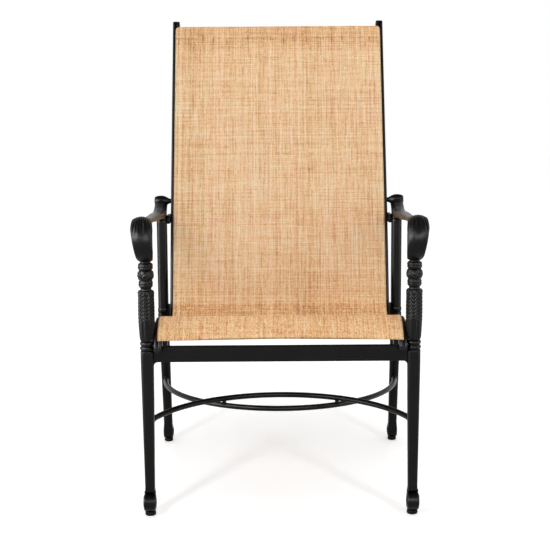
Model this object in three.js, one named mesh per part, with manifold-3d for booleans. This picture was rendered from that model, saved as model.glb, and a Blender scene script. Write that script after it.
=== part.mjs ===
// A high-back sling patio chair: black cast frame, turned front posts, scroll arms and one woven sling.
// Millimetres. Z is up, the chair faces -Y, and left and right are as seen from the front.
// Heights start at the floor. Depths start at the centre line of the front legs until the last step,
// which moves the chair so that the middle of its outline stands on the origin.

import * as THREE from 'three';
import { mergeVertices } from 'three/addons/utils/BufferGeometryUtils.js';
import Module from 'manifold-3d';

const wasm = await Module();
wasm.setup();

const rad = THREE.MathUtils.degToRad;

// Clearances
const seat = 0.3; // between two pieces that rest on or against each other
const boltClearance = 0.3; // round a bolt in its hole
const overrun = 2; // how far a cut runs past the face it opens

// Stance
const frontFootX = 288.3; // centre of a front foot from the middle of the chair
const postTopX = 287; // the same line at the top of the turned post
const rearLegX = 291.5;
const rearKneeBehind = 51.75; // the raked leg turns up into the post this far behind the rails' seat corner
const rearKneeZ = 358;
const rearFootSplay = 76; // how far the leg would reach behind that place at the floor
const rearPostLean = 6; // and the post at its top
const rearPostTopZ = 592;

// Glides
const glideRadius = 12;
const rearGlideRadius = 11;
const glideHeight = 10.7;
const glideEdge = 2.5;
const glideStemRadius = 3.6;
const glideStemLength = 13;

// Front legs
const frontLegTopZ = 371;
const frontTaperTopZ = 345; // the leg has its full size above this height
const frontLegSize = 28.2;
const frontAnkleSize = 21.4;
const frontAnkleZ = 61;
const legCorner = 4;
const frontFootWidth = 27;
const frontFootDepth = 37;
const frontFootReach = 6; // how far the scroll foot leans out past the leg

// Rear legs
const rearPostSize = 25.6;
const rearTaperTopZ = 330;
const rearTaperTopSize = 25.4;
const rearAnkleSize = 22.2;
const rearAnkleZ = 47;
const rearFootWidth = 26;
const rearFootDepth = 32;
const rearFootReach = 6;
const rearBandSize = 28.2;
const rearBandHeight = 7;
const rearBandPitch = 13.2;
const rearCorner = 3.6;

// Turned front posts, from the leg up
const postRingRadius = 15.3;
const postRingHeight = 13.2;
const postValleyRadius = 12.2;
const vaseRadius = 17.6;
const vaseHeight = 106.3;
const postNeckHeight = 6.3;
const smallBeadRadius = 16.3;
const smallBeadHeight = 14.8;
const largeBeadRadius = 17.6;
const largeBeadHeight = 22.8;

// Arms
const armWidth = 28;
const armX = 296.5; // its rear end; it runs in to the scroll's place
const armThickness = 10;
const armCorner = 3;
const scrollRadius = 46; // outer radius of the rolled front
const collarHeight = 10.3; // between the scroll and the turned post
const scrollThickness = 16;
const scrollWidth = 43.7; // at its widest, from its straight inner side
const scrollInnerX = 267.6;
const scrollEyeRadius = 31;
const scrollEyeInset = 2.5; // from the scroll's inner side
const scrollEyeWidth = 25;
const armCollarRadius = 11;
const armPostBlockHeight = 24;
const rollRadius = 12; // rolled rear end beside the back rail
const rollRimShare = 0.85;
const rollStubRadius = 6.5;

// Aprons
const apronTopZ = 380.8;
const apronHeight = 34.6;
const apronThickness = 12;
const apronCorner = 2;
const apronFillet = 9;
const apronDrop = 23; // how much lower the side aprons and the rear apron sit at the rear legs

// Stretcher bars
const barRadius = 6.35;
const frontBarZ = 213;
const frontBarEndX = 282;
const frontBarReach = 200.25; // how far the bent bar reaches back from its ends
const rearBarEndZ = 177;
const rearBarEndX = 291;
const rearBarReach = 363; // how far the bent bar reaches forward from its ends
const weldHeight = 2.8; // between the two bars where they cross
const weldRadius = 4.8;

// Sling rails: section
const railOuterX = 272;
const railWidth = 17.5;
const railDepth = 22;
const railCorner = 2.5;
const slotInset = 6.3; // from the rail's outer face to the slot
const slotWidth = 3;
const channelRadius = 3.6;
const channelDepth = 6.3; // from the rail's front face to the channel's centre
const railCapLength = 4;
const railCapRim = 1.5;

// Sling rails: side profile
const waterfallRadius = 75;
const railFrontAngle = rad(9.6); // the front end's place round the waterfall, above level
const railFrontReach = 21.95; // the front end's place in front of the apron's middle
const railFrontDrop = 11.3; // and below the apron's top
const seatSlope = rad(13.5);
const lowerLean = rad(18.6);
const upperLean = rad(22.9);
const seatRun = 358.7; // waterfall's end to the corner where seat and back would meet
const lowerBackRun = 259.9; // that corner to the back's gentle bend
const upperBackRun = 528.2; // the bend to the rail's top end
const seatCornerRadius = 60;
const backBendRadius = 1500;

// Sling and splines
const slingThickness = 1.6;
const slingFrontInset = 26.5; // along the rail, from its front end
const slingTopInset = 16.7;
const slingFrontBow = 6; // how far the front hem is cut back in the middle
const splineRadius = 3.2;

// Spreader bars between the rails
const spreaderRadius = 9.5;
const spreaderBow = 16;
const boltDepth = 15; // from the rail's front face to every bolt's centre
const frontSpreaderRun = 42; // from the waterfall's end
const topSpreaderRun = 125; // from the rail's top end

// Bolts
const boltRadius = 3;
const boltHeadRadius = 6;
const boltHeadHeight = 4;
const sunkHeadRadius = 4.4; // of the two spreader bolts, whose heads lie flush in the rail
const sunkHeadRim = 0.6;
const sunkHeadDepth = 2.2;
const sunkHeadBelow = 0.3; // how far below the rail's face it lies
const boltGrip = 16; // length of thread in a bar, an arm or a nut
const nutHeight = 7;

// Lugs between the frame and the rails
const lugThickness = 7.2;
const lugRadius = 11;
const backLugZ = 590;
const rollZ = 631;
const frontLugStart = rad(30); // round the waterfall, above level
const frontLugEnd = rad(76);
const frontBoltAngle = rad(40);
const apronLugThickness = 8.5;
const apronLugRadius = 8;
const spacerThickness = 2.2;
const spacerRadius = 6.5;

// Colours and finishes
const finish = (color, roughness, metalness) => new THREE.MeshStandardMaterial({ color, roughness, metalness });
const frameFinish = () => finish(0x1d1d1e, 0.42, 0.7);
const slingFinish = () => finish(0xdab384, 0.85, 0);
const plasticFinish = () => finish(0x161616, 0.6, 0);
const boltFinish = () => finish(0x2a2a2b, 0.35, 0.9);

// Solids

// Turns every triangle round if the closed surface faces inwards.
function facingOut(positions, triangles) {
  const corner = (i) => new THREE.Vector3().fromArray(positions, i * 3);
  let volume = 0;
  for (let t = 0; t < triangles.length; t += 3) {
    const [a, b, c] = [0, 1, 2].map((k) => corner(triangles[t + k]));
    volume += a.dot(b.cross(c));
  }
  const geometry = new THREE.BufferGeometry();
  geometry.setAttribute('position', new THREE.Float32BufferAttribute(positions, 3));
  geometry.setIndex(volume < 0 ? [...triangles].reverse() : triangles);
  return geometry;
}

// Shares the vertices of a closed mesh and drops the empty triangles at a lathe's axis.
function weld(geometry) {
  const bare = new THREE.BufferGeometry();
  bare.setAttribute('position', geometry.getAttribute('position'));
  if (geometry.index) bare.setIndex(geometry.index);
  const merged = mergeVertices(bare);
  const kept = [];
  for (let t = 0; t < merged.index.count; t += 3) {
    const [a, b, c] = [0, 1, 2].map((k) => merged.index.getX(t + k));
    if (a !== b && b !== c && c !== a) kept.push(a, b, c);
  }
  return facingOut([...merged.getAttribute('position').array], kept);
}

function toSolid(geometry) {
  const welded = weld(geometry);
  return new wasm.Manifold(new wasm.Mesh({
    numProp: 3,
    vertProperties: new Float32Array(welded.getAttribute('position').array),
    triVerts: new Uint32Array(welded.index.array),
  }));
}

function toGeometry(solid) {
  const mesh = solid.getMesh();
  return facingOut([...mesh.vertProperties], [...mesh.triVerts]);
}

const join = (...pieces) => toGeometry(pieces.map(toSolid).reduce((whole, piece) => whole.add(piece)));
const cut = (piece, ...tools) =>
  toGeometry(tools.map(toSolid).reduce((rest, tool) => rest.subtract(tool), toSolid(piece)));

// A closed solid through rings that all have the outline's number of points.
function loft(rings, outline) {
  const count = outline.length;
  const positions = rings.flat().flatMap((point) => point.toArray());
  const triangles = [];
  for (let r = 0; r + 1 < rings.length; r++) {
    for (let i = 0; i < count; i++) {
      const a = r * count + i;
      const b = r * count + ((i + 1) % count);
      triangles.push(a, b, b + count, a, b + count, a + count);
    }
  }
  const flat = outline.map(([u, v]) => new THREE.Vector2(u, v));
  const last = (rings.length - 1) * count;
  const turnedRound = THREE.ShapeUtils.isClockWise(flat);
  for (const [a, b, c] of THREE.ShapeUtils.triangulateShape(flat, [])) {
    const [from, to] = turnedRound ? [c, a] : [a, c];
    triangles.push(to, b, from, last + from, last + b, last + to);
  }
  return facingOut(positions, triangles);
}

// A rectangle with cut corners, centred on zero.
function cutRectangle(width, depth, corner) {
  const u = width / 2;
  const v = depth / 2;
  return [
    [u, corner - v], [u, v - corner], [u - corner, v], [corner - u, v],
    [-u, v - corner], [-u, corner - v], [corner - u, -v], [u - corner, -v],
  ];
}

function circle(radius, sides) {
  return Array.from({ length: sides }, (_, i) => {
    const angle = (2 * Math.PI * i) / sides;
    return [radius * Math.cos(angle), radius * Math.sin(angle)];
  });
}

// A turned solid about the Z axis, from [radius, height] points that start and end on the axis.
function turned(profile, sides) {
  const points = profile.map(([radius, height]) => new THREE.Vector2(radius, height));
  return weld(new THREE.LatheGeometry(points, sides).rotateX(Math.PI / 2));
}

// A turned solid about a line along X, its heights measured from x.
function turnedAlongX(profile, sides, x, y, z) {
  return turned(profile, sides).rotateY(Math.PI / 2).translate(x, y, z);
}

const rodAlongX = (radius, fromX, toX, y, z, sides = 10) =>
  turnedAlongX([[0, 0], [radius, 0], [radius, toX - fromX], [0, toX - fromX]], sides, fromX, y, z);

// A plate in the YZ plane, from one X to another, from a closed outline of [y, z] points.
function plateAlongX(outline, fromX, toX) {
  const ring = (x) => outline.map(([y, z]) => new THREE.Vector3(x, y, z));
  return loft([ring(fromX), ring(toX)], outline);
}

// The outline round two discs: straight sides between two round ends.
function linkOutline([y1, z1], radius1, [y2, z2], radius2, steps = 6) {
  const along = Math.atan2(z2 - z1, y2 - y1);
  const end = (y, z, radius, start) => Array.from({ length: steps + 1 }, (_, i) => {
    const angle = start + (Math.PI * i) / steps;
    return [y + radius * Math.cos(angle), z + radius * Math.sin(angle)];
  });
  return [...end(y2, z2, radius2, along - Math.PI / 2), ...end(y1, z1, radius1, along + Math.PI / 2)];
}

// Side profile of a rail: straight runs and arcs, measured by the distance along it.
function sideProfile(y, z, heading, moves) {
  const parts = [];
  let at = { y, z, heading };
  let length = 0;
  const advance = (part, distance) => {
    if (!part.bend) {
      return {
        y: part.y + distance * Math.cos(part.heading),
        z: part.z + distance * Math.sin(part.heading),
        heading: part.heading,
      };
    }
    const turned = part.heading + part.bend * distance;
    return {
      y: part.y + (Math.sin(turned) - Math.sin(part.heading)) / part.bend,
      z: part.z - (Math.cos(turned) - Math.cos(part.heading)) / part.bend,
      heading: turned,
    };
  };
  for (const move of moves) {
    const span = move.turn ? Math.abs(move.turn) * move.radius : move.run;
    const bend = move.turn ? Math.sign(move.turn) / move.radius : 0;
    const part = { ...at, from: length, span, bend, steps: move.steps ?? 1 };
    parts.push(part);
    at = advance(part, span);
    length += span;
  }
  const place = (s) => {
    const part = parts.findLast((p) => s >= p.from) ?? parts[0];
    return advance(part, s - part.from);
  };
  // Where a sweep from one distance to another needs its rings.
  const stops = (from, to) => {
    const inside = parts.flatMap((p) =>
      Array.from({ length: p.steps }, (_, i) => p.from + (p.span * i) / p.steps));
    const least = (to - from) / 1000;
    return [from, ...inside.filter((s) => s > from + least && s < to - least), to];
  };
  // The point at a distance along the profile and a depth below its front face.
  const point = (s, depth) => {
    const { y: py, z: pz, heading: h } = place(s);
    return [py + depth * Math.sin(h), pz - depth * Math.cos(h)];
  };
  return { length, stops, point, starts: parts.map((p) => p.from) };
}

const cornerTurn = seatSlope + Math.PI / 2 - lowerLean;
const bendTurn = upperLean - lowerLean;
const cornerTangent = seatCornerRadius * Math.tan(cornerTurn / 2);
const bendTangent = backBendRadius * Math.tan(bendTurn / 2);

// The waterfall's centre, placed by the front end, and the seat's crest above it
const crestY = waterfallRadius * Math.cos(railFrontAngle) - railFrontReach;
const waterfallZ = apronTopZ - railFrontDrop - waterfallRadius * Math.sin(railFrontAngle);
const waterfallPoint = (angle, depth) => [
  crestY - (waterfallRadius - depth) * Math.cos(angle),
  waterfallZ + (waterfallRadius - depth) * Math.sin(angle),
];
const rail = sideProfile(...waterfallPoint(railFrontAngle, 0), Math.PI / 2 - railFrontAngle, [
  { turn: railFrontAngle - Math.PI / 2 - seatSlope, radius: waterfallRadius, steps: 12 },
  { run: seatRun - cornerTangent },
  { turn: cornerTurn, radius: seatCornerRadius, steps: 9 },
  { run: lowerBackRun - cornerTangent - bendTangent },
  { turn: -bendTurn, radius: backBendRadius, steps: 3 },
  { run: upperBackRun - bendTangent },
]);
const [, seatStart, cornerStart, backStart] = rail.starts;
const railInnerX = railOuterX - railWidth;

// The point on the back rail at a height, at the bolts' depth, found by halving.
function backRailPoint(height) {
  let [low, high] = [backStart, rail.length];
  for (let i = 0; i < 40; i++) {
    const middle = (low + high) / 2;
    if (rail.point(middle, boltDepth)[1] < height) low = middle;
    else high = middle;
  }
  return rail.point(low, boltDepth);
}

// Sweeps a section of [x, depth] points along the rail's profile.
function alongRail(outline, from, to) {
  const rings = rail.stops(from, to).map((s) => outline.map(([x, depth]) => {
    const [y, z] = rail.point(s, depth);
    return new THREE.Vector3(x, y, z);
  }));
  return loft(rings, outline);
}

// Where the bolts go through a rail, as [y, z]
const frontBolt = waterfallPoint(frontBoltAngle, boltDepth);
const frontSpreaderBolt = rail.point(seatStart + frontSpreaderRun, boltDepth);
const seatCornerBolt = rail.point(cornerStart + (backStart - cornerStart) / 2, boltDepth);
const topSpreaderBolt = rail.point(rail.length - topSpreaderRun, boltDepth);
const backLugBolt = backRailPoint(backLugZ);
const rollBolt = backRailPoint(rollZ);
const boltsThroughRail = [frontBolt, seatCornerBolt, backLugBolt, rollBolt];
const sunkBoltsThroughRail = [frontSpreaderBolt, topSpreaderBolt];

const boltHole = ([y, z], fromX, toX) => rodAlongX(boltRadius + boltClearance, fromX, toX, y, z);

// A bolt with a domed head. Its shank runs from the face under the head in the direction given.
function bolt([y, z], faceX, direction, length) {
  const dome = boltHeadRadius / 2;
  const profile = [
    [0, -boltHeadHeight], [dome, -boltHeadHeight], [boltHeadRadius, -boltHeadHeight / 2], [boltHeadRadius, 0],
    [boltRadius, 0], [boltRadius, length], [0, length],
  ];
  const along = profile.map(([radius, height]) => [radius, height * direction]);
  return turnedAlongX(along, 12, faceX, y, z);
}

// The outline of a countersunk head and its shank, grown by a clearance where it is the hole for one.
function sunkProfile(top, length, grow = 0) {
  const head = sunkHeadRadius + grow;
  const shank = boltRadius + grow;
  const rim = sunkHeadBelow + sunkHeadRim;
  return [[0, top], [head, top], [head, rim], [shank, rim + sunkHeadDepth], [shank, length], [0, length]];
}

function sunkTurned([y, z], faceX, profile) {
  return turnedAlongX(profile.map(([radius, height]) => [radius, -height]), 12, faceX, y, z);
}

const sunkBolt = (place, faceX, length) => sunkTurned(place, faceX, sunkProfile(sunkHeadBelow, length));
const sunkHole = (place, faceX, length) => sunkTurned(place, faceX, sunkProfile(-overrun, length, boltClearance));

// Front legs and posts lean in a little towards the top.
const frontPostTopZ = frontLegTopZ + seat + 2 * postRingHeight + vaseHeight + postNeckHeight
  + 2 * smallBeadHeight + largeBeadHeight;
const scrollZ = frontPostTopZ + collarHeight + scrollRadius; // height of the scroll's centre
const leanRate = (frontFootX - postTopX) / frontPostTopZ;
const frontLegX = (height) => frontFootX - leanRate * height;

function leaned(geometry) {
  const position = geometry.getAttribute('position');
  for (let i = 0; i < position.count; i++) {
    const x = position.getX(i);
    position.setX(i, x - Math.sign(x) * leanRate * position.getZ(i));
  }
  return geometry;
}

// Legs

// Scroll foot: shares of its height, width and depth, and of its reach past the leg.
const footShares = [
  [0.0, 0.8, 0.66, 0.1], [0.1, 0.94, 0.84, 0.55], [0.35, 1.0, 1.0, 1.0],
  [0.65, 1.0, 0.98, 1.0], [0.88, 0.93, 0.84, 0.6], [0.97, 0.78, 0.64, 0.1],
];

function legRing(x, y, z, width, depth, corner) {
  return cutRectangle(width, depth, corner).map(([u, v]) => new THREE.Vector3(x + u, y + v, z));
}

// The rings of a scroll foot under an ankle; outward is -1 for a foot that curls forward.
function footRings(foot, grow) {
  const bottom = glideHeight + seat;
  return footShares.map(([heightShare, widthShare, depthShare, reachShare]) => {
    const z = bottom + heightShare * (foot.ankleZ - bottom);
    const y = foot.centre(z) + foot.outward * reachShare * foot.reach;
    return legRing(foot.x, y, z, widthShare * foot.width + grow, depthShare * foot.depth + grow, foot.corner);
  });
}

function glideBore(x, y) {
  const top = glideHeight + glideStemLength + seat;
  const radius = glideStemRadius + seat;
  return turned([[0, 0], [radius, 0], [radius, top], [0, top]], 12).translate(x, y, 0);
}

// A front leg, or the larger space it needs in a neighbour when it is grown.
function frontLegBlank(grow = 0) {
  const foot = {
    x: frontFootX, outward: -1, centre: () => 0, ankleZ: frontAnkleZ,
    width: frontFootWidth, depth: frontFootDepth, reach: frontFootReach, corner: legCorner,
  };
  const straight = [
    [frontAnkleZ, frontAnkleSize], [frontTaperTopZ, frontLegSize], [frontLegTopZ + grow, frontLegSize],
  ];
  const rings = [
    ...footRings(foot, grow),
    ...straight.map(([z, size]) => legRing(frontFootX, 0, z, size + grow, size + grow, legCorner)),
  ];
  return leaned(loft(rings, cutRectangle(1, 1, 0.1)));
}

const rearKneeY = seatCornerBolt[0] + rearKneeBehind;
const rearFootY = rearKneeY + rearFootSplay;
const rearPostTopY = rearKneeY + rearPostLean;
const rearRake = rearFootSplay / rearKneeZ;
const rearPostRake = rearPostLean / (rearPostTopZ - rearKneeZ);
const rearLegY = (z) => (z < rearKneeZ ? rearFootY - rearRake * z : rearKneeY + rearPostRake * (z - rearKneeZ));

function rearLegBlank(grow = 0) {
  const foot = {
    x: rearLegX, outward: 1, centre: rearLegY, ankleZ: rearAnkleZ,
    width: rearFootWidth, depth: rearFootDepth, reach: rearFootReach, corner: rearCorner,
  };
  const bandEdge = (rearBandSize - rearPostSize) / 2;
  const band = (z) => [
    [z - rearBandHeight / 2 - bandEdge, rearPostSize], [z - rearBandHeight / 2, rearBandSize],
    [z + rearBandHeight / 2, rearBandSize], [z + rearBandHeight / 2 + bandEdge, rearPostSize],
  ];
  const straight = [
    [rearAnkleZ, rearAnkleSize], [rearTaperTopZ, rearTaperTopSize],
    ...band(rearKneeZ - rearBandPitch / 2), ...band(rearKneeZ + rearBandPitch / 2),
    [rearPostTopZ, rearPostSize],
  ];
  const rings = [
    ...footRings(foot, grow),
    ...straight.map(([z, size]) => legRing(rearLegX, rearLegY(z), z, size + grow, size + grow, rearCorner)),
  ];
  return loft(rings, cutRectangle(1, 1, 0.1));
}

const glideFrontY = -footShares[0][3] * frontFootReach;
const glideRearY = rearLegY(glideHeight) + footShares[0][3] * rearFootReach;
const frontLeg = () => cut(frontLegBlank(), glideBore(frontFootX, glideFrontY));
const rearLeg = () => cut(rearLegBlank(), glideBore(rearLegX, glideRearY));

function glide(x, y, radius) {
  const profile = [
    [0, 0], [radius - glideEdge, 0], [radius, glideEdge], [radius, glideHeight - glideEdge / 2],
    [radius - glideEdge / 2, glideHeight], [glideStemRadius, glideHeight],
    [glideStemRadius, glideHeight + glideStemLength], [0, glideHeight + glideStemLength],
  ];
  return turned(profile, 16).translate(x, y, 0);
}

// Turned front post

// Vase: shares of its height and of its largest radius.
const vaseShares = [
  [0.02, 0.8], [0.12, 0.84], [0.3, 0.93], [0.45, 1.0], [0.62, 1.0],
  [0.8, 0.97], [0.93, 0.93], [0.98, 0.88], [1.0, 0.74],
];

function beadProfile(bottom, height, radius, steps = 4) {
  return Array.from({ length: steps }, (_, i) => {
    const angle = Math.PI * ((i + 1) / steps - 0.5);
    const swell = (radius - postValleyRadius) * Math.cos(angle);
    return [postValleyRadius + swell, bottom + (height * (1 + Math.sin(angle))) / 2];
  });
}

// A front post, or the larger space it needs in a neighbour when it is grown.
function frontPostBlank(grow = 0) {
  const bottom = frontLegTopZ + seat;
  const vaseBottom = bottom + 2 * postRingHeight;
  const beads = vaseBottom + vaseHeight + postNeckHeight;
  const profile = [
    [0, bottom], [postValleyRadius, bottom],
    ...beadProfile(bottom, postRingHeight, postRingRadius),
    ...beadProfile(bottom + postRingHeight, postRingHeight, postRingRadius),
    ...vaseShares.map(([heightShare, radiusShare]) =>
      [radiusShare * vaseRadius, vaseBottom + heightShare * vaseHeight]),
    [postValleyRadius, beads],
    ...beadProfile(beads, smallBeadHeight, smallBeadRadius),
    ...beadProfile(beads + smallBeadHeight, largeBeadHeight, largeBeadRadius),
    ...beadProfile(beads + smallBeadHeight + largeBeadHeight, smallBeadHeight, smallBeadRadius),
    [0, frontPostTopZ],
  ];
  const grown = profile.map(([radius, height]) => [radius ? radius + grow : 0, height]);
  return leaned(turned(grown, 16).translate(frontFootX, 0, 0));
}

const frontBoltEndX = frontLegX(frontLegTopZ);
const frontPost = () => cut(frontPostBlank(), boltHole(frontBolt, railOuterX, frontBoltEndX + boltClearance));

// Arms

// The arm's centre line behind the scroll: [depth, height, thickness, width].
const [rollY] = rollBolt;
const armLine = [
  [rollY, rollZ - rollRadius / 3, armThickness, armWidth],
  [(rollY + rearPostTopY) / 2, rearPostTopZ + 1.9 * armThickness, 1.4 * armThickness, armWidth],
  [rearPostTopY, rearPostTopZ + seat + armPostBlockHeight / 2, armPostBlockHeight, armWidth],
  [rearPostTopY - rearPostSize, rearPostTopZ + 1.5 * armThickness, 1.3 * armThickness, armWidth],
];
// Further forward it rises to the scroll: shares of the way to the scroll, and of the climb to its top.
const armRiseShares = [[0.2, 0.07], [0.41, 0.24], [0.555, 0.41], [0.67, 0.56], [0.78, 0.69], [0.89, 0.84]];

const armRing = (x, y, z, heading, width, thickness) =>
  cutRectangle(width, thickness, Math.min(armCorner, thickness / 3)).map(([u, v]) =>
    new THREE.Vector3(x + u, y - v * Math.sin(heading), z + v * Math.cos(heading)));

function armBar() {
  const startY = rearPostTopY - rearPostSize;
  const startZ = rearPostTopZ + 1.8 * armThickness;
  const topZ = scrollZ + scrollRadius - scrollThickness / 2;
  const rises = armRiseShares.map(([alongShare, climbShare]) => [
    startY * (1 - alongShare), startZ + climbShare * (topZ - startZ), armThickness, armWidth,
  ]);
  const line = [...armLine, ...rises];
  const rings = line.map(([y, z, thickness, width], i) => {
    const x = THREE.MathUtils.lerp(armX, scrollX(0), THREE.MathUtils.clamp(1 - y / startY, 0, 1));
    const [fromY, fromZ] = line[Math.max(i - 1, 0)];
    const [toY, toZ] = line[Math.min(i + 1, line.length - 1)];
    const heading = Math.atan2(fromZ - toZ, fromY - toY);
    return armRing(x, y, z, heading, width, thickness);
  });
  return loft([...rings, ...scrollRings()], cutRectangle(1, 1, 0.1));
}

// The scroll's width: shares of its turn and of its widest. Its inner side stays straight.
const scrollWidthShares = [
  [0.0, 0.98], [0.24, 1.0], [0.37, 0.98], [0.49, 0.9], [0.61, 0.81], [0.73, 0.7], [1.0, 0.68],
];
function scrollWidthAt(turnShare) {
  const after = Math.max(1, scrollWidthShares.findIndex(([share]) => share >= turnShare));
  const [[fromShare, from], [toShare, to]] = scrollWidthShares.slice(after - 1, after + 1);
  return scrollWidth * THREE.MathUtils.mapLinear(turnShare, fromShare, toShare, from, to);
}
const scrollX = (turnShare) => scrollInnerX + scrollWidthAt(turnShare) / 2;

// The front scroll rolls over forwards from the top and curls in under itself.
function scrollRings(steps = 13) {
  const curl = rad(245);
  const middle = scrollRadius - scrollThickness / 2;
  return Array.from({ length: steps }, (_, i) => {
    const share = i / (steps - 1);
    const turn = share * curl;
    const tight = Math.max(0, (turn - Math.PI) / curl);
    const radius = middle * (1 - 0.9 * tight);
    const y = -radius * Math.sin(turn);
    const z = scrollZ + radius * Math.cos(turn);
    return armRing(scrollX(share), y, z, turn, scrollWidthAt(share), scrollThickness);
  });
}

// The rolled rear end narrows to a stub that meets the back rail.
function armRoll() {
  const start = railOuterX + seat;
  const inner = armX - armWidth / 2 - start;
  const outer = armX + armWidth / 2 - start;
  const rim = rollRadius * (1 - rollRimShare);
  const profile = [
    [0, 0], [rollStubRadius, 0], [rollRadius * rollRimShare, inner], [rollRadius, inner + rim],
    [rollRadius, outer - rim], [rollRadius * rollRimShare, outer], [0, outer],
  ];
  return turnedAlongX(profile, 14, start, ...rollBolt);
}

function armrest() {
  const eyeFrom = scrollInnerX + scrollEyeInset;
  const eye = rodAlongX(scrollEyeRadius, eyeFrom, eyeFrom + scrollEyeWidth, 0, scrollZ, 18);
  const collarBottom = frontPostTopZ + seat;
  const collarProfile = [
    [0, collarBottom], [armCollarRadius, collarBottom], [armCollarRadius, scrollZ], [0, scrollZ],
  ];
  const collar = leaned(turned(collarProfile, 16).translate(frontFootX, 0, 0));
  const bore = boltHole(rollBolt, railOuterX, railOuterX + seat + boltGrip + boltClearance);
  return cut(join(armBar(), eye, collar, armRoll()), bore);
}

// Aprons

// A straight board from one leg's centre to another's, cut back to the legs afterwards.
function board(from, to, grow = 0) {
  const [start, end] = [new THREE.Vector3(...from), new THREE.Vector3(...to)];
  const along = end.clone().sub(start).setZ(0).normalize();
  const across = new THREE.Vector3(-along.y, along.x, 0);
  const outline = cutRectangle(apronThickness + grow, apronHeight + grow, apronCorner);
  const ring = (centre) => outline.map(([u, v]) => centre.clone().addScaledVector(across, u).setZ(centre.z + v));
  return loft([ring(start), ring(end)], outline);
}

const mirrored = (geometry) => weld(geometry.clone().scale(-1, 1, 1));
const apronZ = apronTopZ - apronHeight / 2;

// The front apron's underside curves down into the legs.
function frontApron() {
  const end = frontLegX(apronZ);
  const bottom = apronTopZ - apronHeight;
  const legFace = end - frontLegSize / 2;
  const shape = new THREE.Shape();
  shape.moveTo(-end, apronTopZ);
  shape.lineTo(-end, bottom - apronFillet);
  shape.lineTo(-legFace, bottom - apronFillet);
  shape.absarc(apronFillet - legFace, bottom - apronFillet, apronFillet, Math.PI, Math.PI / 2, true);
  shape.absarc(legFace - apronFillet, bottom - apronFillet, apronFillet, Math.PI / 2, 0, true);
  shape.lineTo(end, bottom - apronFillet);
  shape.lineTo(end, apronTopZ);
  const edge = apronCorner / 2;
  const sheet = new THREE.ExtrudeGeometry(shape, {
    depth: apronThickness - 2 * edge, bevelSize: edge, bevelOffset: -edge, bevelThickness: edge,
    bevelSegments: 1, curveSegments: 4,
  });
  sheet.rotateX(Math.PI / 2).translate(0, apronThickness / 2 - edge, 0);
  const leg = frontLegBlank(2 * seat);
  const post = frontPostBlank(seat);
  return cut(sheet, leg, mirrored(leg), post, mirrored(post));
}

function sideApron() {
  const rearZ = apronZ - apronDrop;
  const blank = board([frontLegX(apronZ), 0, apronZ], [rearLegX, rearLegY(rearZ), rearZ]);
  return cut(blank, frontLegBlank(2 * seat), frontPostBlank(seat), rearLegBlank(2 * seat));
}

function rearApronBlank(grow = 0) {
  const z = apronZ - apronDrop;
  return board([-rearLegX, rearLegY(z), z], [rearLegX, rearLegY(z), z], grow);
}

function rearApron() {
  const leg = rearLegBlank(2 * seat);
  return cut(rearApronBlank(), leg, mirrored(leg));
}

// Stretcher bars

// A round bar along points in space, its rings square to the way it runs.
function roundBar(points, radius = barRadius) {
  const outline = circle(radius, 8);
  const up = new THREE.Vector3(0, 0, 1);
  const rings = points.map((point, i) => {
    const [before, after] = [points[Math.max(i - 1, 0)], points[Math.min(i + 1, points.length - 1)]];
    const along = after.clone().sub(before).normalize();
    const side = new THREE.Vector3().crossVectors(along, up).normalize();
    const rise = new THREE.Vector3().crossVectors(side, along);
    return outline.map(([u, v]) => point.clone().addScaledVector(side, u).addScaledVector(rise, v));
  });
  return loft(rings, outline);
}

const barSteps = 26;
const barShares = Array.from({ length: barSteps + 1 }, (_, i) => i / barSteps);

// The front bar is one level arc, with its ends in the back faces of the front legs.
const frontBarRadius = (frontBarEndX ** 2 + frontBarReach ** 2) / (2 * frontBarReach);
const frontBarApexY = frontAnkleSize / 2 + frontBarReach;
const frontBarY = (x) => frontBarApexY - frontBarRadius + Math.sqrt(frontBarRadius ** 2 - x ** 2);

const frontBarHalf = Math.acos(1 - frontBarReach / frontBarRadius);
const frontBarLine = barShares.map((share) => {
  const angle = (2 * share - 1) * frontBarHalf;
  const y = frontBarApexY - frontBarRadius * (1 - Math.cos(angle));
  return new THREE.Vector3(frontBarRadius * Math.sin(angle), y, frontBarZ);
});

function frontStretcher() {
  const leg = frontLegBlank(2 * seat);
  return cut(roundBar(frontBarLine), leg, mirrored(leg));
}

// The rear bar is half an ellipse that reaches forward and passes just under the front bar.
const rearBarEndY = rearLegY(rearBarEndZ);
const rearBarY = (x) => rearBarEndY - rearBarReach * Math.sqrt(1 - (x / rearBarEndX) ** 2);

function crossingX() {
  let [low, high] = [0, frontBarEndX];
  for (let i = 0; i < 40; i++) {
    const middle = (low + high) / 2;
    if (rearBarY(middle) < frontBarY(middle)) low = middle;
    else high = middle;
  }
  return low;
}

const barCrossingX = crossingX();
const barCrossingY = frontBarY(barCrossingX);
const crossingZ = frontBarZ - 2 * barRadius - 2 * seat - weldHeight;
const rearBarClimb = (crossingZ - rearBarEndZ) / (rearBarEndY - barCrossingY);
const rearBarLine = barShares.map((share) => {
  const angle = share * Math.PI;
  const y = rearBarEndY - rearBarReach * Math.sin(angle);
  return new THREE.Vector3(-rearBarEndX * Math.cos(angle), y, rearBarEndZ + rearBarClimb * (rearBarEndY - y));
});

function rearStretcher() {
  const leg = rearLegBlank(2 * seat);
  return cut(roundBar(rearBarLine), leg, mirrored(leg));
}

// A bead of weld that fills the space between the bars where they cross.
function stretcherWeld() {
  const profile = [[0, crossingZ], [weldRadius, crossingZ], [weldRadius, frontBarZ], [0, frontBarZ]];
  const bead = turned(profile, 12).translate(barCrossingX, barCrossingY, 0);
  return cut(bead, roundBar(frontBarLine, barRadius + seat), roundBar(rearBarLine, barRadius + seat));
}

// Rails

const slotOuterX = railOuterX - slotInset;
const slotX = slotOuterX - slotWidth / 2;

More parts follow.
